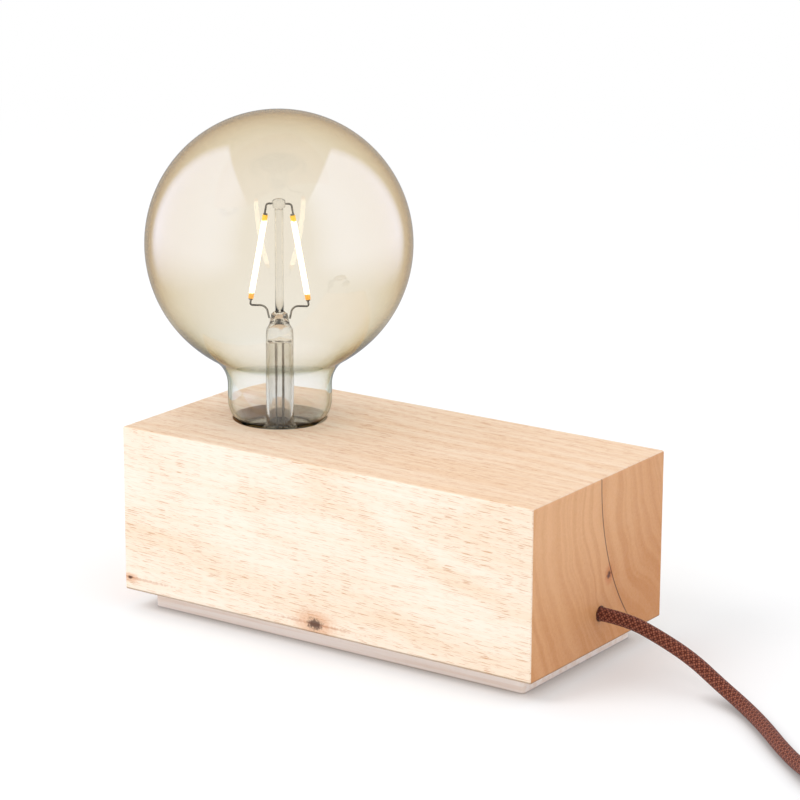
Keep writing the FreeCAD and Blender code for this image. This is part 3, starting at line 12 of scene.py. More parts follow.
import bmesh
import bpy
from mathutils import Quaternion, Vector
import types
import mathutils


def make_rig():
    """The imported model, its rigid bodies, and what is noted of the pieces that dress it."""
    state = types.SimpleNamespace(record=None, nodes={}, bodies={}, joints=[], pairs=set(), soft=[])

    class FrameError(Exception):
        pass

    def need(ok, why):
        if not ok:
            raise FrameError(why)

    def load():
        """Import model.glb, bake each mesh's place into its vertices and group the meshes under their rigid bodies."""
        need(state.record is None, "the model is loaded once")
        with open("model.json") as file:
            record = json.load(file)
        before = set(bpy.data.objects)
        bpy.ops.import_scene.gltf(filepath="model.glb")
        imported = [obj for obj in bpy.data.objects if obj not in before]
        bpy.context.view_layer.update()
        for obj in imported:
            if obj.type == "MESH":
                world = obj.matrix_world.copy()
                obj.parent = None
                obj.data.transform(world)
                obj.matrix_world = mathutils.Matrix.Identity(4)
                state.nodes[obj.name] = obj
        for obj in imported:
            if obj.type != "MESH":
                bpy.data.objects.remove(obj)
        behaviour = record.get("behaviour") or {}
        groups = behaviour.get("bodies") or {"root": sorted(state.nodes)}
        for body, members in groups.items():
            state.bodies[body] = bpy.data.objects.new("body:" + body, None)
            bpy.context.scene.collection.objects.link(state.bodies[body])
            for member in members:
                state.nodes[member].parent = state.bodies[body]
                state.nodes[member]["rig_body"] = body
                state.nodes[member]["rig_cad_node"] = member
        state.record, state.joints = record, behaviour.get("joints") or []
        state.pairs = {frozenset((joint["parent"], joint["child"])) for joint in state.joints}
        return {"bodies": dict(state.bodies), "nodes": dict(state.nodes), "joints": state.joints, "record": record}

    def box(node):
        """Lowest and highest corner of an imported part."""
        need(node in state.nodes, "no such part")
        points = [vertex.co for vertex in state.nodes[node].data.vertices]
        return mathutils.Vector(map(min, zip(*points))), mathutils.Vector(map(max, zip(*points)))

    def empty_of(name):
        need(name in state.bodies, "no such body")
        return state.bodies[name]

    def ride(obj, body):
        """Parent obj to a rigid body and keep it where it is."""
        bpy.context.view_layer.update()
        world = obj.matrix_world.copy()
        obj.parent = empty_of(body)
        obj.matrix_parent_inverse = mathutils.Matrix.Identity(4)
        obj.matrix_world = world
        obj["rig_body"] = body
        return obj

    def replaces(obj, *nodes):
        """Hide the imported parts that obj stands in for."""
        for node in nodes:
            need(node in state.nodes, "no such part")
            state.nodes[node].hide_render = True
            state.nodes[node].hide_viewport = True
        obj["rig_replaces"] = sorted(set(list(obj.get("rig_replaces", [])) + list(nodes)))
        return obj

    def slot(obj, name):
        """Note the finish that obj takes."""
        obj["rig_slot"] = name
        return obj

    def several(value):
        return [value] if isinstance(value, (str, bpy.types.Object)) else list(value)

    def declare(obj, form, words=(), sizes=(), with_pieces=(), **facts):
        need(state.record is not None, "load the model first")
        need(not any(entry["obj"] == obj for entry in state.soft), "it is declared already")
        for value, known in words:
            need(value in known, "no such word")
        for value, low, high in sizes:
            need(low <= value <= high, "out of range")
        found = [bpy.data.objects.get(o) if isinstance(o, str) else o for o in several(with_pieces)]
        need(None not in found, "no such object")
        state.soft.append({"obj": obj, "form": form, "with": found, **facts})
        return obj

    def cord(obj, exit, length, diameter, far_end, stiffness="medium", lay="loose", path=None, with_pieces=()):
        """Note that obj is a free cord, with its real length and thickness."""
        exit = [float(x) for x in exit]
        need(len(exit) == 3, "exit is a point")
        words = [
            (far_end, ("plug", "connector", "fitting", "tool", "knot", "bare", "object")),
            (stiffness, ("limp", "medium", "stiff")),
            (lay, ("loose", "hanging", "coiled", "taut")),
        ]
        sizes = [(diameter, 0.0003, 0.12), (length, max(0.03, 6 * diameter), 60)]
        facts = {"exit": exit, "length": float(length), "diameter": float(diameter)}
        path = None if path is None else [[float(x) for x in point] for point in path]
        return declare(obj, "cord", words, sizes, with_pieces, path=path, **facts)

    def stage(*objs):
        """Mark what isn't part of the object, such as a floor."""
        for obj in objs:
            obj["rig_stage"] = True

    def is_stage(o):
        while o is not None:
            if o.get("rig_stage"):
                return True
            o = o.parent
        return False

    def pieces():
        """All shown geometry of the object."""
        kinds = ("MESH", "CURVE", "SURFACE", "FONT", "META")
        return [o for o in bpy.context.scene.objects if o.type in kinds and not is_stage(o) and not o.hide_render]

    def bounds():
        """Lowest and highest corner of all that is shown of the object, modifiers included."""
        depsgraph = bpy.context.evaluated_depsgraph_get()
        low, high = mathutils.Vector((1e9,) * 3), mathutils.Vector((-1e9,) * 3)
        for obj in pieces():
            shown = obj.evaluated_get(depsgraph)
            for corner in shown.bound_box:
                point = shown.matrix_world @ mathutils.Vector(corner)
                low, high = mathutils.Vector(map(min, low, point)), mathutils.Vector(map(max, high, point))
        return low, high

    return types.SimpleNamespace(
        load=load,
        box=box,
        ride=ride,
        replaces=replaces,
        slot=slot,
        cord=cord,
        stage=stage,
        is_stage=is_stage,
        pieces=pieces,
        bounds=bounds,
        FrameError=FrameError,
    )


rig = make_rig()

log = logging.getLogger("table_lamp")

MM = 0.001
STAND = "stand"
BULB = "bulb"
SIZE_FILE = "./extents.json"

# What a node's choice is called, and how nodes of a kind are always set here.
CHOICE_OF = {"Math": "operation", "VectorMath": "operation", "Mix": "blend_type"}
USUAL = {"Mix": {"data_type": "RGBA"}, "MapRange": {"interpolation_type": "SMOOTHSTEP"}}

# How far a side faces along an axis before it starts to count as that face, and from where it counts in full.
FACING = (0.6, 0.9)

WHITE = (1.0, 1.0, 1.0, 1.0)

# The cord's route: the same points as in the part's source, in metres.
CORD_TO_SWITCH = [
    (0.086, 0.0012, 0.0198),
    (0.097, 0.0012, 0.0198),
    (0.1095, 0.0013, 0.016),
    (0.123, -0.0003, 0.0116),
    (0.1345, -0.0021, 0.0056),
    (0.147, -0.0077, 0.0024),
    (0.161, -0.0201, 0.0024),
    (0.1745, -0.0337, 0.0024),
    (0.1865, -0.0442, 0.0024),
    (0.1985, -0.0543, 0.0045),
    (0.2125, -0.0585, 0.007),
    (0.225, -0.0585, 0.007),
]
CORD_TO_COIL = [
    (0.319, -0.0585, 0.007),
    (0.3305, -0.0585, 0.007),
    (0.344, -0.0585, 0.0024),
    (0.3555, -0.0585, 0.0024),
]
CORD_TO_PLUG = [
    (0.3555, 0.0186, 0.0078),
    (0.3445, 0.0186, 0.0078),
    (0.333, 0.0186, 0.00685),
    (0.322, 0.0186, 0.00685),
]


class Face(Enum):
    """Sides of the block, by the axis that they face."""

    END = "X"
    TOP = "Z"


# ---------------------------------------------------------------- node graphs


def linear(code: str) -> tuple[float, float, float, float]:
    """Turns a colour as seen into the linear values that shaders take.

    Args:
        code: an sRGB colour, such as "#d8a982".

    Returns:
        Red, green, blue and an alpha of 1.
    """
    parts = [int(code[i : i + 2], 16) / 255 for i in (1, 3, 5)]
    values = [c / 12.92 if c <= 0.04045 else ((c + 0.055) / 1.055) ** 2.4 for c in parts]
    return (*values, 1.0)


def add(tree: bpy.types.NodeTree, kind: str, *values: Any, out: str = "", **settings: Any) -> bpy.types.NodeSocket:
    """Adds one node with its settings, values and links.

    Args:
        tree: the graph that gets the node.
        kind: the node's type without its ShaderNode prefix, then a colon and the sum or blend it makes, if any.
        values: values or sockets for the inputs in use, in their order, or one mapping of them by name.
        out: the output wanted, if it isn't the first in use.
        settings: other attributes of the node itself.

    Returns:
        The wanted output's socket.
    """
    kind, _, choice = kind.partition(":")
    node = tree.nodes.new(f"ShaderNode{kind}")
    if choice:
        settings[CHOICE_OF[kind]] = choice
    for name, value in {**USUAL.get(kind, {}), **settings}.items():
        setattr(node, name, value)
    if values and isinstance(values[0], Mapping):
        pairs = [(node.inputs[name], value) for name, value in values[0].items()]
    else:
        pairs = list(zip([socket for socket in node.inputs if socket.enabled], values))
    for socket, value in pairs:
        if isinstance(value, bpy.types.NodeSocket):
            tree.links.new(value, socket)
        else:
            socket.default_value = value
    if out:
        return node.outputs[out]
    return next((socket for socket in node.outputs if socket.enabled), None)


class Pattern:
    """A material's graph, measured in millimetres on the object at rest."""

    def __init__(self, name: str) -> None:
        """Makes a material of that name with an empty graph."""
        self.material = bpy.data.materials.new(name)
        self.material.use_nodes = True
        self.tree = self.material.node_tree
        self.tree.nodes.clear()

    def add(self, kind: str, *values: Any, **settings: Any) -> bpy.types.NodeSocket:
        """Adds one node to this graph, as the function of that name does."""
        return add(self.tree, kind, *values, **settings)

    def place(self) -> bpy.types.NodeSocket:
        """Where a point lies on the object at rest, in millimetres."""
        return self.add("VectorMath:MULTIPLY", self.add("TexCoord", out="Object"), (1 / MM, 1 / MM, 1 / MM))

    def mottle(self, spot: Any, per_mm: float | Sequence[float], detail: float = 2.0, twist: float = 0.0) -> Any:
        """Soft mottling.

        Args:
            spot: the place, in millimetres.
            per_mm: how many features fit in a millimetre, along all axes or each.
            detail: how many finer layers it has.
            twist: how far it bends itself.

        Returns:
            The mottling's socket, around 0.5.
        """
        scale = (per_mm,) * 3 if isinstance(per_mm, float) else tuple(per_mm)
        place = self.add("VectorMath:MULTIPLY", spot, scale)
        return self.add("TexNoise", {"Vector": place, "Scale": 1.0, "Detail": detail, "Distortion": twist})

    def facing(self, side: Face) -> Any:
        """How far the surface faces along one axis, from 0 to 1."""
        along = self.add("SeparateXYZ", self.add("TexCoord", out="Normal"), out=side.value)
        return self.add("MapRange", self.add("Math:ABSOLUTE", along), *FACING)

    def finish(self, **inputs: Any) -> bpy.types.Material:
        """Ends the graph in one principled surface.

        Args:
            inputs: the surface's inputs, with _ for each space in a name.

        Returns:
            The finished material.
        """
        named = {key.replace("_", " "): value for key, value in inputs.items()}
        self.add("OutputMaterial", self.add("BsdfPrincipled", named))
        return self.material


# ---------------------------------------------------------------- finishes


@dataclass(frozen=True)
class Finish(ABC):
    """What a surface is made of and how it was made."""

    name: str

    @abstractmethod
    def build(self) -> bpy.types.Material:
        """Makes the material."""


@dataclass(frozen=True)
class Knot:
    """A small knot in the wood, by its middle and half sizes in millimetres."""

    middle: tuple[float, float, float]
    half: tuple[float, float, float]


@dataclass(frozen=True)
class SawnHardwood(Finish):
    """Pale hardwood, sawn, sanded and lightly oiled.

    One set of growth rings round a pith beside the block runs through all its faces, so the end shows arcs and the
    long sides straight bands. Sawing opens the pores, which show as tan dashes about 7 mm long and 0.3 mm wide along
    the grain. Cut ends drink more oil, so they are darker, and one has dried into a fine crack along a ring.
    """

    pale: str = "#f8ebdb"
    warm: str = "#efd1b0"
    pore: str = "#d8ab82"
    end_pale: str = "#e8b688"
    end_warm: str = "#c98c58"
    top: str = "#fae6d0"
    top_warm: str = "#f0cfae"
    knot: str = "#3a2015"
    halo: str = "#e2a56c"
    tail: str = "#c98f5c"
    # foot: painted shade, a dark line along the rounded bottom edge of the block, which is in shade above the plate
    foot: str = "#8a6a4c"
    ring_mm: float = 5.0
    sway_mm: float = 14.0
    drift: float = -0.05
    lean: float = 0.03
    pore_per_mm: tuple[float, float, float] = (0.14, 3.2, 3.2)
    fine_per_mm: tuple[float, float, float] = (0.24, 4.4, 4.4)
    pith: tuple[float, float, float] = (0.0, 84.6, 68.0)
    crack_radius: float = 84.2
    foot_z: float = 7.3
    knots: tuple[Knot, ...] = (
        Knot((-1.9, -42.5, 10.7), (4.4, 2.4, 2.7)),
        Knot((-83.6, -42.5, 12.0), (1.8, 1.2, 0.9)),
        Knot((86.0, 6.5, 32.4), (1.4, 1.4, 1.9)),
    )

    def build(self) -> bpy.types.Material:
        """Makes the material.

        Returns:
            The material.
        """
        p = Pattern(self.name)
        spot = p.place()
        parts = p.add("SeparateXYZ", spot).node.outputs
        across = p.add("VectorMath:MULTIPLY", p.add("VectorMath:SUBTRACT", spot, self.pith), (0.0, 1.0, 1.0))
        radius = p.add("VectorMath:LENGTH", across)
        bands = self.rings(p, spot, radius, parts["X"])
        streak = p.add("MapRange", p.mottle(spot, (0.018, 0.9, 0.9), 3.0), 0.35, 0.7)
        blotch = p.add("MapRange", p.mottle(spot, (0.02, 0.05, 0.05), 3.0), 0.4, 0.7)
        grain = p.add("Math:ADD", p.add("Math:MULTIPLY", bands, 0.45), p.add("Math:MULTIPLY", streak, 0.3))
        grain = p.add("Math:ADD", grain, p.add("Math:MULTIPLY", blotch, 0.25))

        end, top = p.facing(Face.END), p.facing(Face.TOP)
        pores = self.pores(p, spot, parts["X"], grain)
        side = p.add("Mix", p.add("Math:MULTIPLY", grain, 0.7), linear(self.pale), linear(self.warm))
        far = p.add("Math:MULTIPLY", p.add("MapRange", parts["X"], -40.0, 80.0), 0.45)
        flat = p.add("Mix", p.add("Math:ADD", grain, far), linear(self.top), linear(self.top_warm))
        colour = p.add("Mix", end, p.add("Mix", top, side, flat), self.cut_end(p, spot, parts, bands))
        share = p.add("Math:MULTIPLY", pores, p.add("MapRange", end, 0.0, 1.0, 0.75, 0.3))
        colour = p.add("Mix:MULTIPLY", share, colour, linear(self.pore))

        away = p.add("Math:ABSOLUTE", p.add("Math:SUBTRACT", radius, self.crack_radius))
        crack = p.add("Math:MULTIPLY", p.add("MapRange", away, 0.1, 0.38, 1.0, 0.0), end)
        crack = p.add("Math:MULTIPLY", crack, p.add("MapRange", parts["Z"], 12.0, 18.0))
        crack = p.add("Math:MULTIPLY", crack, p.add("MapRange", parts["X"], 80.0, 84.0))
        colour = p.add("Mix", p.add("Math:MULTIPLY", crack, 0.8), colour, linear(self.knot))
        for knot in self.knots:
            colour = self.knotted(p, spot, knot, colour)
        # Painted shade: a dark band along the block's rounded bottom edge, where it turns away from the light over the
        # plate.
        foot = p.add("MapRange", parts["Z"], self.foot_z + 0.5, self.foot_z + 1.0, 0.6, 0.0)
        colour = p.add("Mix", foot, colour, linear(self.foot))

        height = p.add("Math:SUBTRACT", p.add("Math:MULTIPLY", streak, 0.35), p.add("Math:ADD", pores, crack))
        rough = p.add("MapRange", p.mottle(spot, (0.05, 0.8, 0.8), 2.0), 0.3, 0.7, 0.5, 0.66)
        return p.finish(Base_Color=colour, Roughness=rough, Specular_IOR_Level=0.2,
                        Normal=p.add("Bump", {"Height": height, "Distance": 0.1 * MM, "Strength": 0.4}))

    def rings(self, p: Pattern, spot: Any, radius: Any, along: Any) -> Any:
        """The growth rings, which sway along the block.

        Args:
            p: the graph.
            spot: the place, in millimetres.
            radius: how far that is from the pith.
            along: how far it is along the block.

        Returns:
            The rings' socket, from 0 to 1.
        """
        sway = p.add("Math:SUBTRACT", p.mottle(spot, (0.012, 0.03, 0.03)), 0.5)
        sway = p.add("Math:MULTIPLY", sway, self.sway_mm)
        drift = p.add("Math:MULTIPLY", along, self.drift)
        line = p.add("Math:ADD", p.add("Math:ADD", radius, sway), drift)
        line = p.add("Math:DIVIDE", line, self.ring_mm)
        bands = p.add("TexNoise", {"W": line, "Scale": 1.0, "Detail": 3.0}, noise_dimensions="1D")
        return p.add("MapRange", bands, 0.36, 0.66)

    def pores(self, p: Pattern, spot: Any, along: Any, grain: Any) -> Any:
        """The open pores, long ones and finer ones, which crowd where the grain is dark.

        Args:
            p: the graph.
            spot: the place, in millimetres.
            along: how far that is along the block.
            grain: how dark the grain is there.

        Returns:
            The pores' socket, from 0 to 1.
        """
        lean = p.add("Math:MULTIPLY", along, self.lean)
        drawn = p.add("VectorMath:ADD", spot, p.add("CombineXYZ", {"Z": lean}))
        long = p.add("MapRange", p.mottle(drawn, self.pore_per_mm, 1.0, 0.1), 0.62, 0.66)
        fine = p.add("MapRange", p.mottle(drawn, self.fine_per_mm, 1.0), 0.6, 0.66)
        both = p.add("Math:MAXIMUM", long, p.add("Math:MULTIPLY", fine, 0.5))
        return p.add("Math:MULTIPLY", both, p.add("MapRange", grain, 0.1, 0.5, 0.5, 1.0))

    def cut_end(self, p: Pattern, spot: Any, parts: Any, bands: Any) -> Any:
        """The colour of the cut ends, with painted shade that darkens them towards the foot and the back.

        Args:
            p: the graph.
            spot: the place, in millimetres.
            parts: that place's three parts.
            bands: the growth rings.

        Returns:
            The colour's socket.
        """
        # Painted shade: the cut ends grow darker towards the foot and towards the back.
        painted_shade = p.add("Math:MULTIPLY", p.add("MapRange", parts["Z"], 60.0, 10.0), 0.5)
        back = p.add("Math:MULTIPLY", p.add("MapRange", parts["Y"], -25.0, 40.0), 0.3)
        painted_shade = p.add("Math:ADD", painted_shade, back)
        fibre = p.add("Math:MULTIPLY", p.mottle(spot, 1.1, 3.0), 0.3)
        grain = p.add("Math:ADD", p.add("Math:MULTIPLY", bands, 0.25), fibre)
        return p.add("Mix", p.add("Math:ADD", grain, painted_shade), linear(self.end_pale), linear(self.end_warm))

    def knotted(self, p: Pattern, spot: Any, knot: Knot, colour: Any) -> Any:
        """A knot over the colour: a dark ragged heart, a warm halo and tails along the grain.

        Args:
            p: the graph.
            spot: the place, in millimetres.
            knot: the knot.
            colour: the colour round it.

        Returns:
            The colour's socket.
        """
        scale = tuple(1 / half for half in knot.half)
        ragged = p.add("Math:SUBTRACT", p.mottle(spot, 0.8, 3.0), 0.5)
        ragged = p.add("Math:MULTIPLY", ragged, 1.4)
        offset = p.add("VectorMath:SUBTRACT", spot, knot.middle)
        reach = p.add("VectorMath:LENGTH", p.add("VectorMath:MULTIPLY", offset, scale))
        reach = p.add("Math:ADD", reach, ragged)
        halo = p.add("MapRange", reach, 0.8, 2.6, 0.5, 0.0)
        colour = p.add("Mix:MULTIPLY", halo, colour, linear(self.halo))
        tails = p.add("VectorMath:LENGTH", p.add("VectorMath:MULTIPLY", offset, (1 / 26.0, 0.4, 1 / 0.7)))
        tail = p.add("MapRange", p.add("Math:ADD", tails, ragged), 0.3, 1.0, 0.4, 0.0)
        colour = p.add("Mix:MULTIPLY", tail, colour, linear(self.tail))
        return p.add("Mix", p.add("MapRange", reach, 0.35, 1.0, 0.85, 0.0), colour, linear(self.knot))


@dataclass(frozen=True)
class WhitewashedBoard(Finish):
    """A planed softwood board under a thin white wash, which fills its grain and leaves it chalky and pinkish."""

    wash: str = "#fff4ec"
    wood: str = "#ecd2be"
    # foot: painted shadow, a dark line along the plate's bottom edge where it meets the floor
    foot: str = "#7d6f6a"

    def build(self) -> bpy.types.Material:
        """Makes the material.

        Returns:
            The material.
        """
        p = Pattern(self.name)
        spot = p.place()
        streak = p.add("MapRange", p.mottle(spot, (0.02, 0.5, 0.9), 4.0), 0.35, 0.7)
        speck = p.add("MapRange", p.mottle(spot, (0.5, 2.5, 2.5), 2.0), 0.55, 0.75)
        share = p.add("Math:ADD", p.add("Math:MULTIPLY", streak, 0.7), p.add("Math:MULTIPLY", speck, 0.3))
        colour = p.add("Mix", p.add("Math:MULTIPLY", share, 0.7), linear(self.wash), linear(self.wood))
        # Painted shadow: a dark band along the plate's lowest half millimetre, where it meets the floor.
        height = p.add("SeparateXYZ", spot, out="Z")
        colour = p.add("Mix", p.add("MapRange", height, 0.1, 0.6, 0.6, 0.0), colour, linear(self.foot))
        return p.finish(Base_Color=colour, Roughness=p.add("MapRange", streak, 0.0, 1.0, 0.62, 0.75),
                        Normal=p.add("Bump", {"Height": share, "Distance": 0.08 * MM, "Strength": 0.5}))


@dataclass(frozen=True)
class Glass(Finish):
    """Clear or tinted glass that lets lamps through, so what stands inside it is lit as if in the open.

    Its tint takes more of the light the more slantwise that crosses the wall, so the rims go dark and the middle
    stays pale, as in a real bulb.
    """

    index: float = 1.5
    rough: float = 0.0
    rim_slant: float = 1.45
    least_facing: float = 0.12
    shadow_gamma: float = 0.4

    def slant(self, p: Pattern, spot: Any) -> Any:
        """How steeply the tint deepens where light crosses the wall slantwise."""
        return self.rim_slant

    @abstractmethod
    def density(self, p: Pattern, spot: Any) -> Any:
        """How strongly the wall takes red, green and blue from light that crosses both walls straight on."""

    @abstractmethod
    def normal(self, p: Pattern, spot: Any) -> Any:
        """The small unevenness of the surface."""

    def build(self) -> bpy.types.Material:
        """Makes the material.

        Returns:
            The material.
        """
        p = Pattern(self.name)
        spot = p.place()
        across = p.add("Math:SUBTRACT", 1.0, p.add("LayerWeight", 0.5, out="Facing"))
        across = p.add("Math:MAXIMUM", across, self.least_facing)
        steepness = p.add("Math:MULTIPLY", self.slant(p, spot), -1.0)
        path = p.add("Math:MULTIPLY", p.add("Math:POWER", across, steepness), -0.5)
        taken = p.add("SeparateXYZ", p.add("VectorMath:SCALE", self.density(p, spot), path)).node.outputs
        colour = p.add("CombineColor", *(p.add("Math:EXPONENT", part) for part in taken))
        surface = p.add("BsdfPrincipled", {
            "Base Color": colour,
            "Roughness": self.rough,
            "IOR": self.index,
            "Transmission Weight": 1.0,
            "Normal": self.normal(p, spot),
        })
        passing = p.add("BsdfTransparent", p.add("Gamma", colour, self.shadow_gamma))
        shadow = p.add("LightPath", out="Is Shadow Ray")
        p.add("OutputMaterial", p.add("MixShader", shadow, surface, passing))
        return p.material


@dataclass(frozen=True)
class BlownGlass(Glass):
    """Glass blown thin, with a vapour-deposited amber tint on its globe that thins out to a clear neck."""

    amber: tuple[float, float, float] = (0.15, 0.24, 0.43)
    clear: tuple[float, float, float] = (0.055, 0.05, 0.07)
    neck_slant: float = 2.6
    neck_z: float = 84.0
    shoulder_z: float = 122.0

    def slant(self, p: Pattern, spot: Any) -> Any:
        """How steeply the tint deepens: more at the neck and its shoulder, where the wall is thicker."""
        height = p.add("SeparateXYZ", spot, out="Z")
        return p.add("MapRange", height, self.neck_z + 10.0, self.neck_z + 24.0, self.neck_slant, self.rim_slant)

    def density(self, p: Pattern, spot: Any) -> Any:
        """How strongly the wall takes red, green and blue."""
        height = p.add("SeparateXYZ", spot, out="Z")
        share = p.add("MapRange", height, self.neck_z, self.shoulder_z)
        return p.add("Mix", share, (*self.clear, 1.0), (*self.amber, 1.0))

    def normal(self, p: Pattern, spot: Any) -> Any:
        """Slow ripples from the blowing."""
        return p.add("Bump", {"Height": p.mottle(spot, 0.035, 1.0), "Distance": 0.15 * MM, "Strength": 0.12})


@dataclass(frozen=True)
class DrawnGlass(Glass):
    """Clear tube glass, drawn and pressed hot, with faint lines along the draw that catch the light."""

    tone: tuple[float, float, float] = (0.16, 0.17, 0.2)

    def density(self, p: Pattern, spot: Any) -> Any:
        """How strongly the wall takes red, green and blue."""
        lines = p.mottle(spot, (1.6, 1.6, 0.02), 2.0)
        darker = tuple(1.6 * share for share in self.tone)
        return p.add("Mix", p.add("MapRange", lines, 0.3, 0.7), (*self.tone, 1.0), (*darker, 1.0))

    def normal(self, p: Pattern, spot: Any) -> Any:
        """Fine lines along the draw."""
        return p.add("Bump", {"Height": p.mottle(spot, (1.6, 1.6, 0.02), 2.0), "Distance": 0.2 * MM, "Strength": 0.35})


@dataclass(frozen=True)
class LitFilament(Finish):
    """A strip of light sources under a phosphor gel, lit: white along its middle, unlit yellow gel at its tips."""

    middle: str = "#fff6e2"
    top: str = "#e9b615"
    foot: str = "#f0a23c"
    low_z: float = 110.7
    high_z: float = 142.0
    tip_mm: float = 2.4
    strength: float = 3.5
    tip_strength: float = 0.75
    gel: str = "#f3c24a"

    def build(self) -> bpy.types.Material:
        """Makes the material.

        Returns:
            The material.
        """
        p = Pattern(self.name)
        spot = p.place()
        height = p.add("SeparateXYZ", spot, out="Z")
        ragged = p.add("Math:MULTIPLY", p.add("Math:SUBTRACT", p.mottle(spot, 1.2, 2.0), 0.5), 0.8)
        level = p.add("Math:ADD", height, ragged)
        low = p.add("MapRange", level, self.low_z + self.tip_mm - 0.4, self.low_z + self.tip_mm + 0.5, 1.0, 0.0)
        high = p.add("MapRange", level, self.high_z - self.tip_mm - 0.5, self.high_z - self.tip_mm + 0.4)
        colour = p.add("Mix", low, linear(self.middle), linear(self.foot))
        colour = p.add("Mix", high, colour, linear(self.top))
        tip = p.add("Math:MAXIMUM", low, high)
        power = p.add("MapRange", tip, 0.0, 1.0, self.strength, self.tip_strength)
        return p.finish(Base_Color=linear(self.gel), Roughness=0.55, Emission_Color=colour,
                        Emission_Strength=power)


@dataclass(frozen=True)
class Metal(Finish):
    """Sheet or bar metal whose making leaves fine lines, and handling leaves dull and bright patches."""

    tone: str = "#c9c8c2"
    dull: str = "#a9a8a2"
    shine: tuple[float, float] = (0.25, 0.42)
    line_mm: tuple[float, float, float] = (0.25, 3.0, 3.0)
    depth_mm: float = 0.02

    def build(self) -> bpy.types.Material:
        """Makes the material.

        Returns:
            The material.
        """
        p = Pattern(self.name)
        spot = p.place()
        lines = p.mottle(spot, self.line_mm, 2.0)
        patch = p.add("MapRange", p.mottle(spot, 0.25, 3.0), 0.35, 0.7)
        colour = p.add("Mix", patch, linear(self.tone), linear(self.dull))
        return p.finish(Base_Color=colour, Metallic=1.0, Roughness=p.add("MapRange", patch, 0.0, 1.0, *self.shine),
                        Normal=p.add("Bump", {"Height": lines, "Distance": self.depth_mm * MM, "Strength": 0.5}))


@dataclass(frozen=True)
class FiredCeramic(Finish):
    """Unglazed steatite, pressed and fired: off white, with a faint grit."""

    tone: str = "#eeeae0"
    grit: str = "#d8d2c4"

    def build(self) -> bpy.types.Material:
        """Makes the material.

        Returns:
            The material.
        """
        p = Pattern(self.name)
        grit = p.mottle(p.place(), 1.8, 3.0)
        colour = p.add("Mix", p.add("MapRange", grit, 0.35, 0.7), linear(self.tone), linear(self.grit))
        return p.finish(Base_Color=colour, Roughness=0.58,
                        Normal=p.add("Bump", {"Height": grit, "Distance": 0.04 * MM, "Strength": 0.5}))


@dataclass(frozen=True)
class Moulded(Finish):
    """Plastic or rubber from a spark-eroded mould, which leaves a fine even grain and softly uneven gloss.

    The real grain is under a tenth of a millimetre, so it is drawn coarser to show at all.
    """

    tone: str = "#17181a"
    light: str = "#26272a"
    shine: tuple[float, float] = (0.42, 0.56)
    grain_per_mm: float = 2.6
    depth_mm: float = 0.03

    def build(self) -> bpy.types.Material:
        """Makes the material.

        Returns:
            The material.
        """
        p = Pattern(self.name)
        spot = p.place()
        grain = p.mottle(spot, self.grain_per_mm, 2.0)
        cloud = p.add("MapRange", p.mottle(spot, 0.12, 3.0), 0.3, 0.7)
        colour = p.add("Mix", cloud, linear(self.tone), linear(self.light))
        return p.finish(Base_Color=colour, Roughness=p.add("MapRange", cloud, 0.0, 1.0, *self.shine),
                        Normal=p.add("Bump", {"Height": grain, "Distance": self.depth_mm * MM, "Strength": 0.45}))


@dataclass(frozen=True)
class BraidedTextile(Finish):
    """Dyed yarn braided over the cord on a maypole machine.

    Two sets of strands cross over and under, so each shows as short slanting stitches that meet in a herringbone,
    with a painted highlight on the top of each and painted shade between them. There are fewer and broader
    strands than on a real braid, so that they show.
    """

    yarn: str = "#7a3b28"
    # pale: painted highlight on the top of each stitch
    pale: str = "#b5745a"
    deep: str = "#4d1f13"
    strands: int = 12
    pitch_mm: float = 15.0

    def build(self) -> bpy.types.Material:
        """Makes the material.

        Returns:
            The material.
        """
        p = Pattern(self.name)
        turn, length, _ = p.add("SeparateXYZ", p.add("UVMap", uv_map="Cord")).node.outputs
        around = p.add("Math:MULTIPLY", turn, float(self.strands))
        along = p.add("Math:MULTIPLY", length, self.strands / self.pitch_mm)
        left, right = p.add("Math:ADD", along, around), p.add("Math:SUBTRACT", along, around)
        humps = []
        for strand, other in ((left, right), (right, left)):
            hump = p.add("Math:SINE", p.add("Math:MULTIPLY", p.add("Math:FRACT", strand), math.pi))
            over = p.add("Math:SINE", p.add("Math:MULTIPLY", other, math.pi))
            humps.append(p.add("Math:MULTIPLY", hump, p.add("MapRange", over, -0.5, 0.6, 0.25, 1.0)))
        height = p.add("Math:MAXIMUM", *humps)
        fibre = p.mottle(p.place(), 3.5, 3.0)
        # Painted shade: the dark colour where the strands dip under each other.
        spread = p.add("MapRange", height, 0.1, 0.6)
        colour = p.add("Mix", spread, linear(self.deep), linear(self.yarn))
        # Painted highlight: the paler colour on the top of each stitch, broken up by the fibres.
        shine = p.add("MapRange", fibre, 0.3, 0.65, 0.35, 1.0)
        shine = p.add("Math:MULTIPLY", p.add("MapRange", height, 0.8, 1.0), shine)
        colour = p.add("Mix", shine, colour, linear(self.pale))
        relief = p.add("Math:ADD", height, p.add("Math:MULTIPLY", fibre, 0.25))
        return p.finish(Base_Color=colour, Roughness=0.8, Specular_IOR_Level=0.25, Sheen_Weight=0.08,
                        Normal=p.add("Bump", {"Height": relief, "Distance": 0.35 * MM, "Strength": 0.9}))


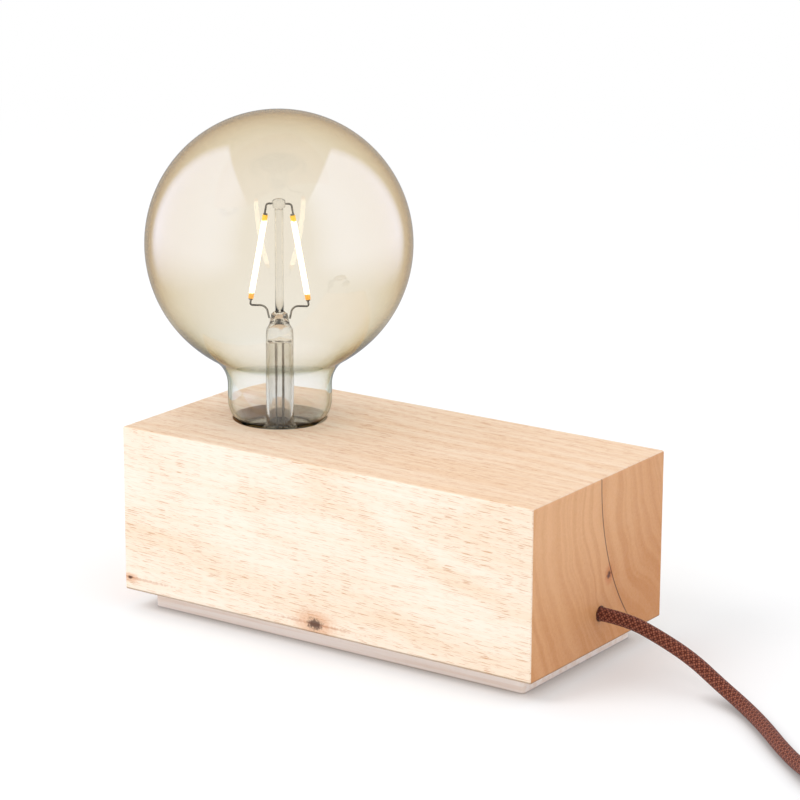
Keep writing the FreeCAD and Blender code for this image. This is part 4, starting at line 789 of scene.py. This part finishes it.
@dataclass(frozen=True)
class Studio:
    """The plain pale floor and the soft light of a product photograph.

    The surroundings are white. In reflections two tall diffusers stand left and right of the camera's line, with soft
    near edges, so the globe shows them as broad pale areas. The key light comes over the camera's left shoulder.
    """

    floor_size: float = 9.0
    floor_near: float = 0.45
    floor_far: float = 1.1
    floor_glow: float = 0.16
    floor_tone: str = "#fafbfd"
    # Painted shadow: how far, and to what tone, the floor's colour darkens where something stands close by.
    contact_reach: float = 0.007
    contact_tone: str = "#b4afad"
    ambient: float = 0.94
    dim: float = 0.5
    panel: float = 4.6
    panel_tone: str = "#cddaff"
    # Where each edge of the diffusers fades, as (from, to, light there, light there): up and ahead over aside.
    panel_top: tuple[float, float, float, float] = (1.62, 1.8, 1.0, 0.0)
    panel_foot: tuple[float, float, float, float] = (-0.62, 0.0, 0.0, 1.0)
    panel_near: tuple[float, float, float, float] = (-1.2, -0.64, 0.0, 1.0)
    panel_far: tuple[float, float, float, float] = (0.4, 2.0, 1.0, 0.0)
    key: float = 11.0
    key_size: float = 0.9
    key_spot: tuple[float, float, float] = (-0.7, -1.1, 1.5)
    key_aim: tuple[float, float, float] = (0.0, 0.0, 0.05)
    ahead: tuple[float, float, float] = (0.5657, -0.8246, 0.0)
    right: tuple[float, float, float] = (0.8246, 0.5657, 0.0)

    def build(self) -> None:
        """Makes the floor, the surrounding light and the key lamp."""
        self.make_floor()
        self.make_world()
        self.make_key()
        log.info("studio: floor, surrounding light and key lamp")

    def make_key(self) -> None:
        """Makes the key lamp, a large soft box."""
        lamp = bpy.data.lights.new("key", "AREA")
        lamp.shape = "RECTANGLE"
        lamp.size = lamp.size_y = self.key_size
        lamp.energy = self.key
        holder = bpy.data.objects.new("key", lamp)
        holder.location = self.key_spot
        holder.rotation_mode = "QUATERNION"
        holder.rotation_quaternion = (Vector(self.key_aim) - Vector(self.key_spot)).to_track_quat("-Z", "Y")
        holder.visible_camera = holder.visible_glossy = holder.visible_transmission = False
        bpy.context.scene.collection.objects.link(holder)

    def make_floor(self) -> None:
        """Makes the floor, which carries the shadow, darkened further by a painted contact shadow near the lamp, and
        turns to plain white away from the lamp.
        """
        p = Pattern("pale_floor")
        # Painted shadow: the floor's colour darkens where something stands within a few millimetres.
        near = p.add("AmbientOcclusion", WHITE, self.contact_reach, out="AO")
        tone = p.add("Mix", p.add("MapRange", near, 0.35, 1.0), linear(self.contact_tone), linear(self.floor_tone))
        paper = p.add("BsdfDiffuse", tone)
        white = p.add("Emission", WHITE, 1.0)
        away = p.add("VectorMath:LENGTH", p.place())
        share = p.add("MapRange", away, self.floor_near / MM, self.floor_far / MM, self.floor_glow, 1.0)
        both = p.add("MixShader", share, paper, white)
        mirrored = p.add("LightPath", out="Is Glossy Ray")
        p.add("OutputMaterial", p.add("MixShader", mirrored, both, p.add("BsdfTransparent", WHITE)))
        half = self.floor_size / 2
        corners = [(-half, -half, 0), (half, -half, 0), (half, half, 0), (-half, half, 0)]
        mesh = bpy.data.meshes.new("floor")
        mesh.from_pydata(corners, [], [(0, 1, 2, 3)])
        mesh.materials.append(p.material)
        floor = bpy.data.objects.new("floor", mesh)
        floor.location.z = -0.02 * MM
        bpy.context.scene.collection.objects.link(floor)
        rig.stage(floor)

    def make_world(self) -> None:
        """Makes the white surroundings, and the diffusers that show in reflections alone."""
        world = bpy.data.worlds.new("studio")
        world.use_nodes = True
        bpy.context.scene.world = world
        tree = world.node_tree
        tree.nodes.clear()
        path = add(tree, "LightPath").node.outputs
        direction = add(tree, "TexCoord", out="Generated")
        axes = (self.right, self.ahead, (0.0, 0.0, 1.0))
        aside, ahead, up = (add(tree, "VectorMath:DOT_PRODUCT", direction, axis) for axis in axes)
        aside = add(tree, "Math:MAXIMUM", add(tree, "Math:ABSOLUTE", aside), 0.02)
        ahead, up = (add(tree, "Math:DIVIDE", part, aside) for part in (ahead, up))
        share = 1.0
        edges = ((up, self.panel_top), (up, self.panel_foot), (ahead, self.panel_near), (ahead, self.panel_far))
        for value, edge in edges:
            share = add(tree, "Math:MULTIPLY", share, add(tree, "MapRange", value, *edge))
        lit = tuple(self.panel * part for part in linear(self.panel_tone)[:3])
        shown = add(tree, "Mix", share, (*(self.dim,) * 3, 1.0), (*lit, 1.0))
        colour = add(tree, "Mix", path["Is Glossy Ray"], (*(self.ambient,) * 3, 1.0), shown)
        seen = add(tree, "Math:MAXIMUM", path["Is Camera Ray"], path["Is Transmission Ray"])
        colour = add(tree, "Mix", seen, colour, WHITE)
        add(tree, "OutputWorld", add(tree, "Background", colour, 1.0))


@dataclass(frozen=True)
class Viewpoint:
    """The photograph's camera, in degrees, metres and millimetres of lens."""

    azimuth: float = 34.45
    elevation: float = 15.27
    roll: float = 0.26
    place: tuple[float, float, float] = (0.600446, -0.869387, 0.370071)
    lens: float = 141.32
    sensor: float = 36.0

    def build(self) -> None:
        """Makes the camera and gives it to the scene."""
        turn, rise = math.radians(self.azimuth), math.radians(self.elevation)
        back = Vector((math.sin(turn) * math.cos(rise), -math.cos(turn) * math.cos(rise), math.sin(rise)))
        data = bpy.data.cameras.new("camera")
        data.lens = self.lens
        data.sensor_width = self.sensor
        data.clip_start, data.clip_end = 0.05, 30.0
        camera = bpy.data.objects.new("camera", data)
        camera.location = self.place
        camera.rotation_mode = "QUATERNION"
        roll = Quaternion((0.0, 0.0, 1.0), math.radians(self.roll))
        camera.rotation_quaternion = (-back).to_track_quat("-Z", "Y") @ roll
        bpy.context.scene.collection.objects.link(camera)
        bpy.context.scene.camera = camera
        log.info("camera: %.0f mm lens", self.lens)


# ---------------------------------------------------------------- shapes


def link(mesh: bpy.types.Mesh, material: bpy.types.Material, smooth: bool = True) -> bpy.types.Object:
    """Puts a mesh in the scene under its own name.

    Args:
        mesh: the mesh.
        material: its finish.
        smooth: whether its faces are shaded as one surface.

    Returns:
        The new object.
    """
    mesh.materials.clear()
    mesh.materials.append(material)
    mesh.polygons.foreach_set("use_smooth", [smooth] * len(mesh.polygons))
    piece = bpy.data.objects.new(mesh.name, mesh)
    bpy.context.scene.collection.objects.link(piece)
    return piece


def arc(middle: Vector, radius: float, start: float, end: float, steps: int) -> list[Vector]:
    """Points along an arc in the plane of radius and height.

    Args:
        middle: the arc's middle.
        radius: its radius.
        start: its first angle in radians, from outwards to up.
        end: its last angle.
        steps: how many equal parts it has.

    Returns:
        The points, both ends among them.
    """
    turns = [start + (end - start) * i / steps for i in range(steps + 1)]
    return [middle + radius * Vector((math.cos(t), math.sin(t))) for t in turns]


def turned(
    name: str,
    outline: Sequence[Vector],
    axis: Vector,
    sides: int,
    flatten: Mapping[int, float] | None = None,
    turn: float = 0.0,
    closed: bool = True,
) -> bpy.types.Mesh:
    """A mesh turned round a vertical axis.

    Args:
        name: the mesh's name.
        outline: (radius, height) points in order.
        axis: where the axis stands; heights count from its z.
        sides: how many sides the turn has.
        flatten: for a point of the outline, the share of its radius that is left across the pressed direction.
        turn: the pressed direction's angle in radians.
        closed: whether the last point joins the first.

    Returns:
        The mesh.
    """
    form = bmesh.new()
    rows = []
    for i, point in enumerate(outline):
        share = (flatten or {}).get(i, 1.0)
        if point.x < 1e-9:
            rows.append([form.verts.new(axis + Vector((0, 0, point.y)))])
            continue
        row = []
        for k in range(sides):
            angle = 2 * math.pi * k / sides
            flat = Vector((point.x * math.cos(angle), share * point.x * math.sin(angle)))
            spun = Vector((
                flat.x * math.cos(turn) - flat.y * math.sin(turn),
                flat.x * math.sin(turn) + flat.y * math.cos(turn),
                point.y,
            ))
            row.append(form.verts.new(axis + spun))
        rows.append(row)
    pairs = list(zip(rows, rows[1:]))
    if closed and len(rows[0]) > 1 and len(rows[-1]) > 1:
        pairs.append((rows[-1], rows[0]))
    for low, high in pairs:
        if len(low) == len(high) == 1:
            continue
        for k in range(sides):
            corners = [low[k % len(low)], low[(k + 1) % len(low)], high[(k + 1) % len(high)], high[k % len(high)]]
            form.faces.new(list(dict.fromkeys(corners)))
    bmesh.ops.recalc_face_normals(form, faces=form.faces)
    mesh = bpy.data.meshes.new(name)
    form.to_mesh(mesh)
    form.free()
    return mesh


def spline_points(name: str, route: Iterable[Sequence[float]], resolution: int) -> list[Vector]:
    """Points along the smooth line that a route's points control.

    Args:
        name: what the line is called while it exists.
        route: the control points, in metres.
        resolution: how many steps each of the route's runs gets.

    Returns:
        The line's points.
    """
    points = list(route)
    curve = bpy.data.curves.new(name, "CURVE")
    curve.dimensions = "3D"
    curve.resolution_u = resolution
    spline = curve.splines.new("NURBS")
    spline.points.add(len(points) - 1)
    for target, point in zip(spline.points, points):
        target.co = (*point, 1.0)
    spline.order_u = 3
    spline.use_endpoint_u = True
    holder = bpy.data.objects.new(name, curve)
    bpy.context.scene.collection.objects.link(holder)
    bpy.context.view_layer.update()
    mesh = bpy.data.meshes.new_from_object(holder.evaluated_get(bpy.context.evaluated_depsgraph_get()))
    line = [vertex.co.copy() for vertex in mesh.vertices]
    bpy.data.objects.remove(holder)
    bpy.data.meshes.remove(mesh)
    return line


def round_tube(name: str, line: Sequence[Vector], radius: float, sides: int) -> bpy.types.Mesh:
    """A tube along a line, with a map of turns round it and millimetres along it.

    Args:
        name: the mesh's name.
        line: the points that the tube's middle follows.
        radius: the tube's radius.
        sides: how many sides it has.

    Returns:
        The mesh.
    """
    form = bmesh.new()
    layer = form.loops.layers.uv.new("Cord")
    steps = [0.0]
    for before, after in zip(line, line[1:]):
        steps.append(steps[-1] + (after - before).length)
    ahead = (line[1] - line[0]).normalized()
    out = ahead.orthogonal().normalized()
    rows = []
    for i, middle in enumerate(line):
        new = (line[min(i + 1, len(line) - 1)] - line[max(i - 1, 0)]).normalized()
        out = ahead.rotation_difference(new) @ out
        out = (out - out.dot(new) * new).normalized()
        ahead = new
        aside = new.cross(out)
        angles = [2 * math.pi * k / sides for k in range(sides)]
        rows.append([form.verts.new(middle + radius * (math.cos(a) * out + math.sin(a) * aside)) for a in angles])
    for i, (low, high) in enumerate(zip(rows, rows[1:])):
        for k in range(sides):
            face = form.faces.new((low[k], low[(k + 1) % sides], high[(k + 1) % sides], high[k]))
            spots = [(k, i), (k + 1, i), (k + 1, i + 1), (k, i + 1)]
            for loop, (turn, row) in zip(face.loops, spots):
                loop[layer].uv = (turn / sides, steps[row] / MM)
    for row, order in ((rows[0], -1), (rows[-1], 1)):
        form.faces.new(row[::order])
    mesh = bpy.data.meshes.new(name)
    form.to_mesh(mesh)
    form.free()
    return mesh


# ---------------------------------------------------------------- sub-assemblies


@dataclass
class Shelf:
    """Every finish of the lamp, made once and handed to the pieces that share it."""

    made: dict[str, bpy.types.Material] = field(default_factory=dict)

    def get(self, finish: Finish) -> bpy.types.Material:
        """The material of a finish.

        Args:
            finish: the finish wanted.

        Returns:
            Its material, made at the first call.
        """
        if finish.name not in self.made:
            self.made[finish.name] = finish.build()
        return self.made[finish.name]


HARDWOOD = SawnHardwood("oiled_hardwood")
BOARD = WhitewashedBoard("whitewashed_board")
AMBER_GLASS = BlownGlass("amber_blown_glass")
CLEAR_GLASS = DrawnGlass("clear_drawn_glass")
FILAMENT = LitFilament("lit_phosphor")
NICKEL = Metal("nickel_plate", "#cfc9bd", "#b3aca0", (0.14, 0.26), (0.4, 0.4, 3.0), 0.01)
ZINC = Metal("zinc_plated_steel", "#b9bcbe", "#97999b", (0.3, 0.46), (1.2, 1.2, 1.2), 0.02)
BRASS = Metal("stamped_brass", "#c9a050", "#a27a36", (0.22, 0.38), (0.4, 3.0, 3.0), 0.015)
WIRE = Metal("drawn_wire", "#8d8a84", "#5d5a55", (0.3, 0.45), (1.5, 1.5, 0.2), 0.01)
CERAMIC = FiredCeramic("fired_steatite")
BLACK_PLASTIC = Moulded("black_moulded_plastic")
BLACK_GLOSS = Moulded("black_polished_plastic", "#101113", "#1b1c1f", (0.16, 0.24), 1.2, 0.008)
BLACK_RUBBER = Moulded("black_moulded_rubber", "#141414", "#202020", (0.62, 0.74), 3.2, 0.04)
CORE_BROWN = Moulded("brown_core_insulation", "#4a2716", "#5f3520", (0.35, 0.45), 1.4, 0.01)
CORE_BLUE = Moulded("blue_core_insulation", "#1e4f8e", "#2a62a6", (0.35, 0.45), 1.4, 0.01)
CIRCUIT = Moulded("green_circuit_board", "#1f5a35", "#2d7a48", (0.3, 0.42), 1.0, 0.02)
SLEEVE = Moulded("shrink_sleeve", "#1b2238", "#2a3350", (0.25, 0.35), 1.0, 0.01)
TEXTILE = BraidedTextile("braided_textile")

DRESSED = {
    HARDWOOD: ["wood_block"],
    BOARD: ["base_plate"],
    ZINC: [
        *(f"plate_screw_{i}" for i in (1, 2, 3, 4)),
        *(f"{screw}_screw_{i}" for screw in ("strap", "grip", "switch") for i in (1, 2)),
        "holder_nut",
        "holder_strap",
        "rocker_pin",
    ],
    BLACK_PLASTIC: ["holder_shell", "cord_grip", "cap_insulator", "switch_base", "switch_cover", "plug_body"],
    BLACK_GLOSS: ["switch_rocker"],
    BLACK_RUBBER: ["switch_relief_1", "switch_relief_2"],
    CERAMIC: ["holder_insert"],
    BRASS: [
        "holder_sleeve",
        "holder_nipple",
        "live_contact",
        "neutral_contact",
        *(f"{part}_{i}" for part in ("terminal_screw", "switch_contact", "plug_pin") for i in (1, 2)),
    ],
    NICKEL: ["bulb_cap", "cap_contact"],
    WIRE: [f"{wire}_{i}" for wire in ("support_wire", "lead_wire", "inner_lead") for i in (1, 2)],
    CIRCUIT: ["driver_board"],
    SLEEVE: ["driver_capacitor"],
    CORE_BROWN: ["live_wire", "switch_live_core_1", "switch_live_core_2"],
    CORE_BLUE: ["neutral_wire", "switch_neutral_core"],
}


def dress(nodes: Mapping[str, bpy.types.Object], shelf: Shelf) -> None:
    """Gives each kept solid of the frame its finish.

    Args:
        nodes: the frame's solids by name.
        shelf: the finishes.
    """
    for finish, names in DRESSED.items():
        for name in names:
            data = nodes[name].data
            data.materials.clear()
            data.materials.append(shelf.get(finish))
        log.info("%s: %d pieces", finish.name, len(names))


@dataclass
class Cord:
    """The braided cord, from the block to the switch and from the switch through the put-away coil to the plug."""

    radius: float = 2.4 * MM
    sides: int = 32
    inner_radius: float = 19.2 * MM
    draw_in: float = 0.8 * MM
    pitch: float = 5.3 * MM
    layer: float = 5.4 * MM
    lead: float = 2.0 * MM
    half_turns: int = 7
    points_per_half_turn: int = 12
    lengths: tuple[float, float] = (0.162, 1.42)
    inside_runs: int = 6
    seen_steps: int = 12
    hidden_steps: int = 2
    coiled_steps: int = 5

    def coil(self) -> list[Vector]:
        """The coil's control points, wound inwards in a lower layer and outwards in an upper one.

        Returns:
            The points.
        """
        outer = self.inner_radius + self.draw_in + self.half_turns * self.pitch / 2
        centre = Vector(CORD_TO_COIL[-1]) + Vector((self.lead, outer, 0.0))
        reaches = [outer - k * self.pitch / 2 for k in range(self.half_turns)] + [self.inner_radius]
        reaches += reaches[::-1]
        climb = self.half_turns
        points = []
        for k, (here, there) in enumerate(zip(reaches, reaches[1:])):
            side = 1 if k % 2 == 0 else -1
            for i in range(self.points_per_half_turn):
                share = i / self.points_per_half_turn
                angle = math.pi * share
                mean, offset = (here + there) / 2, (there - here) / 2
                height = self.layer * (share if k == climb else float(k > climb))
                flat = side * Vector((mean * math.sin(angle), offset - mean * math.cos(angle), 0.0))
                points.append(centre + flat + Vector((0.0, 0.0, height)))
        points.append(centre + Vector((0.0, outer, self.layer)))
        return points

    def piece(self, name: str, route: Sequence[Sequence[float]], resolution: int, shelf: Shelf) -> Any:
        """One stretch of cord.

        Args:
            name: the piece's name.
            route: its control points.
            resolution: how many steps each run gets.
            shelf: the finishes.

        Returns:
            The piece and the points that it follows.
        """
        line = spline_points(f"{name}_line", route, resolution)
        piece = link(round_tube(name, line, self.radius, self.sides), shelf.get(TEXTILE))
        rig.ride(piece, STAND)
        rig.slot(piece, "cord_textile")
        log.info("%s: %d points along it", name, len(line))
        return piece, line

    def build(self, nodes: Mapping[str, bpy.types.Object], shelf: Shelf) -> None:
        """Args:
            nodes: the frame's solids by name.
            shelf: the finishes.
        """
        low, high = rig.box("cord_inside")
        middle = (low + high) / 2
        shares = [i / self.inside_runs for i in range(self.inside_runs + 1)]
        inside = [Vector((low.x + (high.x - low.x) * share, middle.y, middle.z)) for share in shares]
        hidden, _ = self.piece("cord_in_block", inside, self.hidden_steps, shelf)
        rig.replaces(hidden, "cord_inside")

        first, line = self.piece("cord_seen", CORD_TO_SWITCH, self.seen_steps, shelf)
        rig.replaces(first, "cord_to_switch")
        switch = [node for name, node in nodes.items() if name.startswith("switch_") or name == "rocker_pin"]
        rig.cord(first, exit=CORD_TO_SWITCH[0], length=self.lengths[0], diameter=2 * self.radius,
                far_end="fitting", stiffness="medium", lay="loose", path=line, with_pieces=switch)

        route = [*CORD_TO_COIL, *self.coil(), *CORD_TO_PLUG]
        second, line = self.piece("cord_put_away", route, self.coiled_steps, shelf)
        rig.replaces(second, "cord_to_coil", "cord_coil", "cord_to_plug")
        plug = [nodes[name] for name in ("plug_body", "plug_pin_1", "plug_pin_2")]
        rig.cord(second, exit=CORD_TO_COIL[0], length=self.lengths[1], diameter=2 * self.radius,
                far_end="plug", stiffness="medium", lay="coiled", path=line, with_pieces=plug)


@dataclass
class Bulb:
    """The bulb's glass and filaments, in metres above the cap's top rim."""

    wall: float = 0.8 * MM
    neck: float = 18.6 * MM
    shoulder: float = 12.0 * MM
    heel: float = 9.0 * MM
    heel_height: float = 9.8 * MM
    heel_angle: float = 54.0
    tail: float = 12.2 * MM
    tail_depth: float = 5.0 * MM
    flare: float = 4.95 * MM
    flare_wall: float = 1.0 * MM
    flare_height: float = 35.5 * MM
    flare_foot_height: float = 1.0 * MM
    pinch: float = 3.6 * MM
    pinch_height: float = 42.1 * MM
    pinch_flatness: float = 0.62
    rod: float = 1.6 * MM
    hub: float = 2.3 * MM
    hub_height: float = 80.0 * MM
    hub_thickness: float = 2.2 * MM
    filament_turn: float = 30.0
    filament_radius: float = 0.95 * MM
    filament_cap: float = 0.5 * MM
    sides: int = 144

    def envelope(self, wall: float, radius: float, centre: float) -> list[Vector]:
        """The glass's outline set in by a wall, from its crown down to its foot.

        Args:
            wall: how far it is set in.
            radius: the globe's outer radius.
            centre: the height of the globe's middle.

        Returns:
            The (radius, height) points.
        """
        globe, neck, shoulder, heel = radius - wall, self.neck - wall, self.shoulder + wall, self.heel - wall
        tail = self.tail - wall
        reach = globe + shoulder
        drop = math.sqrt(reach**2 - (neck + shoulder) ** 2)
        dip = math.acos((neck + shoulder) / reach)
        tilt = math.radians(self.heel_angle)
        points = arc(Vector((0.0, centre)), globe, math.pi / 2, -dip, 72)
        points += arc(Vector((neck + shoulder, centre - drop)), shoulder, math.pi - dip, math.pi, 12)[1:]
        points += arc(Vector((neck - heel, self.heel_height)), heel, 0.0, -tilt, 10)
        end = points[-1]
        points.append(Vector((tail, end.y - (end.x - tail) / math.tan(tilt))))
        points.append(Vector((tail, -self.tail_depth)))
        return points

    def build(self, shelf: Shelf) -> None:
        """Makes the globe, its mount, the rod and both filaments.

        Args:
            shelf: the finishes.
        """
        low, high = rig.box("globe")
        radius = (high.x - low.x) / 2
        rim = low.z + self.tail_depth
        axis = Vector(((low.x + high.x) / 2, (low.y + high.y) / 2, rim))
        centre = high.z - radius - rim
        outline = self.envelope(0.0, radius, centre) + self.envelope(self.wall, radius, centre)[::-1]
        globe = link(turned("glass_globe", outline, axis, self.sides, closed=False), shelf.get(AMBER_GLASS))
        self.seat(globe, "tinted_glass", "globe")

        mount = link(self.mount(axis), shelf.get(CLEAR_GLASS))
        self.seat(mount, "clear_glass", "stem")
        rod = link(self.rod_mesh(axis), shelf.get(CLEAR_GLASS))
        self.seat(rod, "clear_glass", "stem_rod")
        for i in (1, 2):
            self.filament(i, axis, shelf)

    def seat(self, piece: bpy.types.Object, slot: str, *nodes: str) -> None:
        """Hangs a piece on the bulb in place of its solids.

        Args:
            piece: the piece.
            slot: the record's slot for its finish.
            nodes: the solids that it stands for.
        """
        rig.ride(piece, BULB)
        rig.slot(piece, slot)
        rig.replaces(piece, *nodes)
        log.info("%s: %d faces", piece.name, len(piece.data.polygons))

    def mount(self, axis: Vector) -> bpy.types.Mesh:
        """The flared tube, pressed flat at its top where the wires pass through it.

        Args:
            axis: the bulb's axis at the cap's rim.

        Returns:
            The mesh.
        """
        flare, wall, top = self.flare, self.flare_wall, self.pinch_height
        foot = self.tail - self.wall - 0.3 * MM
        bore = flare - wall
        outer = [Vector((foot, -self.tail_depth)), Vector((flare * 1.35, self.flare_foot_height - 3.0 * MM))]
        outer += [Vector((flare, self.flare_foot_height)), Vector((flare, self.flare_height - 2.0 * MM))]
        outer += [Vector((flare * 0.96, self.flare_height)), Vector((self.pinch, self.flare_height + 2.2 * MM))]
        pressed = len(outer)
        outer += [Vector((self.pinch * 0.94, top - 3.0 * MM)), Vector((self.pinch * 0.8, top - 0.8 * MM))]
        outer += [Vector((self.pinch * 0.5, top)), Vector((0.0, top))]
        inner = [Vector((0.0, self.flare_height - flare / 2)), Vector((bore * 0.7, self.flare_height - flare * 0.75))]
        inner += [Vector((bore, self.flare_height - flare)), Vector((bore, self.flare_foot_height))]
        inner += [Vector((flare * 1.35 - wall, self.flare_foot_height - 3.0 * MM))]
        inner += [Vector((foot - wall, -self.tail_depth))]
        flatten = {i: self.pinch_flatness for i in range(pressed, pressed + 4)}
        flatten[pressed - 1] = 0.8
        turn = math.radians(self.filament_turn)
        return turned("glass_mount", outer + inner, axis, 48, flatten, turn, closed=True)

    def rod_mesh(self, axis: Vector) -> bpy.types.Mesh:
        """The glass rod with the bead at its top that holds the filaments' hooks.

        Args:
            axis: the bulb's axis at the cap's rim.

        Returns:
            The mesh.
        """
        rod, hub, top = self.rod, self.hub, self.hub_height + self.hub_thickness
        outline = [Vector((0.0, self.pinch_height)), Vector((rod, self.pinch_height))]
        outline += [Vector((rod * 0.94, self.pinch_height + 6.0 * MM)), Vector((rod * 0.94, self.hub_height - rod))]
        outline += arc(Vector((hub - rod * 0.5, self.hub_height + rod * 0.2)), rod * 0.5, -math.pi / 2, 0.0, 4)
        outline += arc(Vector((hub - rod * 0.5, top - rod * 0.2)), rod * 0.5, 0.0, math.pi / 2, 4)
        outline += [Vector((rod * 0.6, top + rod * 0.45)), Vector((0.0, top + rod * 0.5))]
        return turned("glass_rod", outline, axis, 32, closed=False)

    def filament(self, number: int, axis: Vector, shelf: Shelf) -> None:
        """One lit filament: a rounded strip with metal caps at both ends.

        Args:
            number: 1 or 2.
            axis: the bulb's axis at the cap's rim; not used.
            shelf: the finishes.
        """
        node = f"filament_{number}"
        low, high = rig.box(node)
        side = -1 if number == 1 else 1
        inner, outer = (high, low) if side < 0 else (low, high)
        radius = self.filament_radius
        top = Vector((inner.x + side * radius * 0.8, inner.y + side * radius * 0.8, high.z - radius * 0.2))
        foot = Vector((outer.x - side * radius * 0.9, outer.y - side * radius * 0.9, low.z + radius * 0.2))
        ahead = (foot - top).normalized()
        cap = ahead * self.filament_cap
        line = [top + cap, top.lerp(foot, 0.33), top.lerp(foot, 0.66), foot - cap]
        strip = link(round_tube(f"lit_strip_{number}", line, radius, 20), shelf.get(FILAMENT))
        self.seat(strip, "filament", node)
        for name, end, start in (("top", top, line[0]), ("foot", foot, line[-1])):
            tip = link(round_tube(f"strip_{name}_cap_{number}", [end, start], radius * 0.8, 16), shelf.get(WIRE))
            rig.ride(tip, BULB)
            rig.slot(tip, "zinc_steel")


def main() -> None:
    """Builds the camera, the lamp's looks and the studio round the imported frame."""
    logging.basicConfig(level=logging.INFO, format="%(name)s %(message)s")
    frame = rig.load()
    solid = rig.bounds()
    shelf = Shelf()
    bpy.context.scene.view_settings.view_transform = "Standard"
    Viewpoint().build()
    Cord().build(frame["nodes"], shelf)
    dress(frame["nodes"], shelf)
    Bulb().build(shelf)
    Studio().build()
    with open(SIZE_FILE, "w", encoding="utf-8") as report:
        json.dump({"solid": [list(c) for c in solid], "shown": [list(c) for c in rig.bounds()]}, report)


if __name__ == "__main__":
    main()
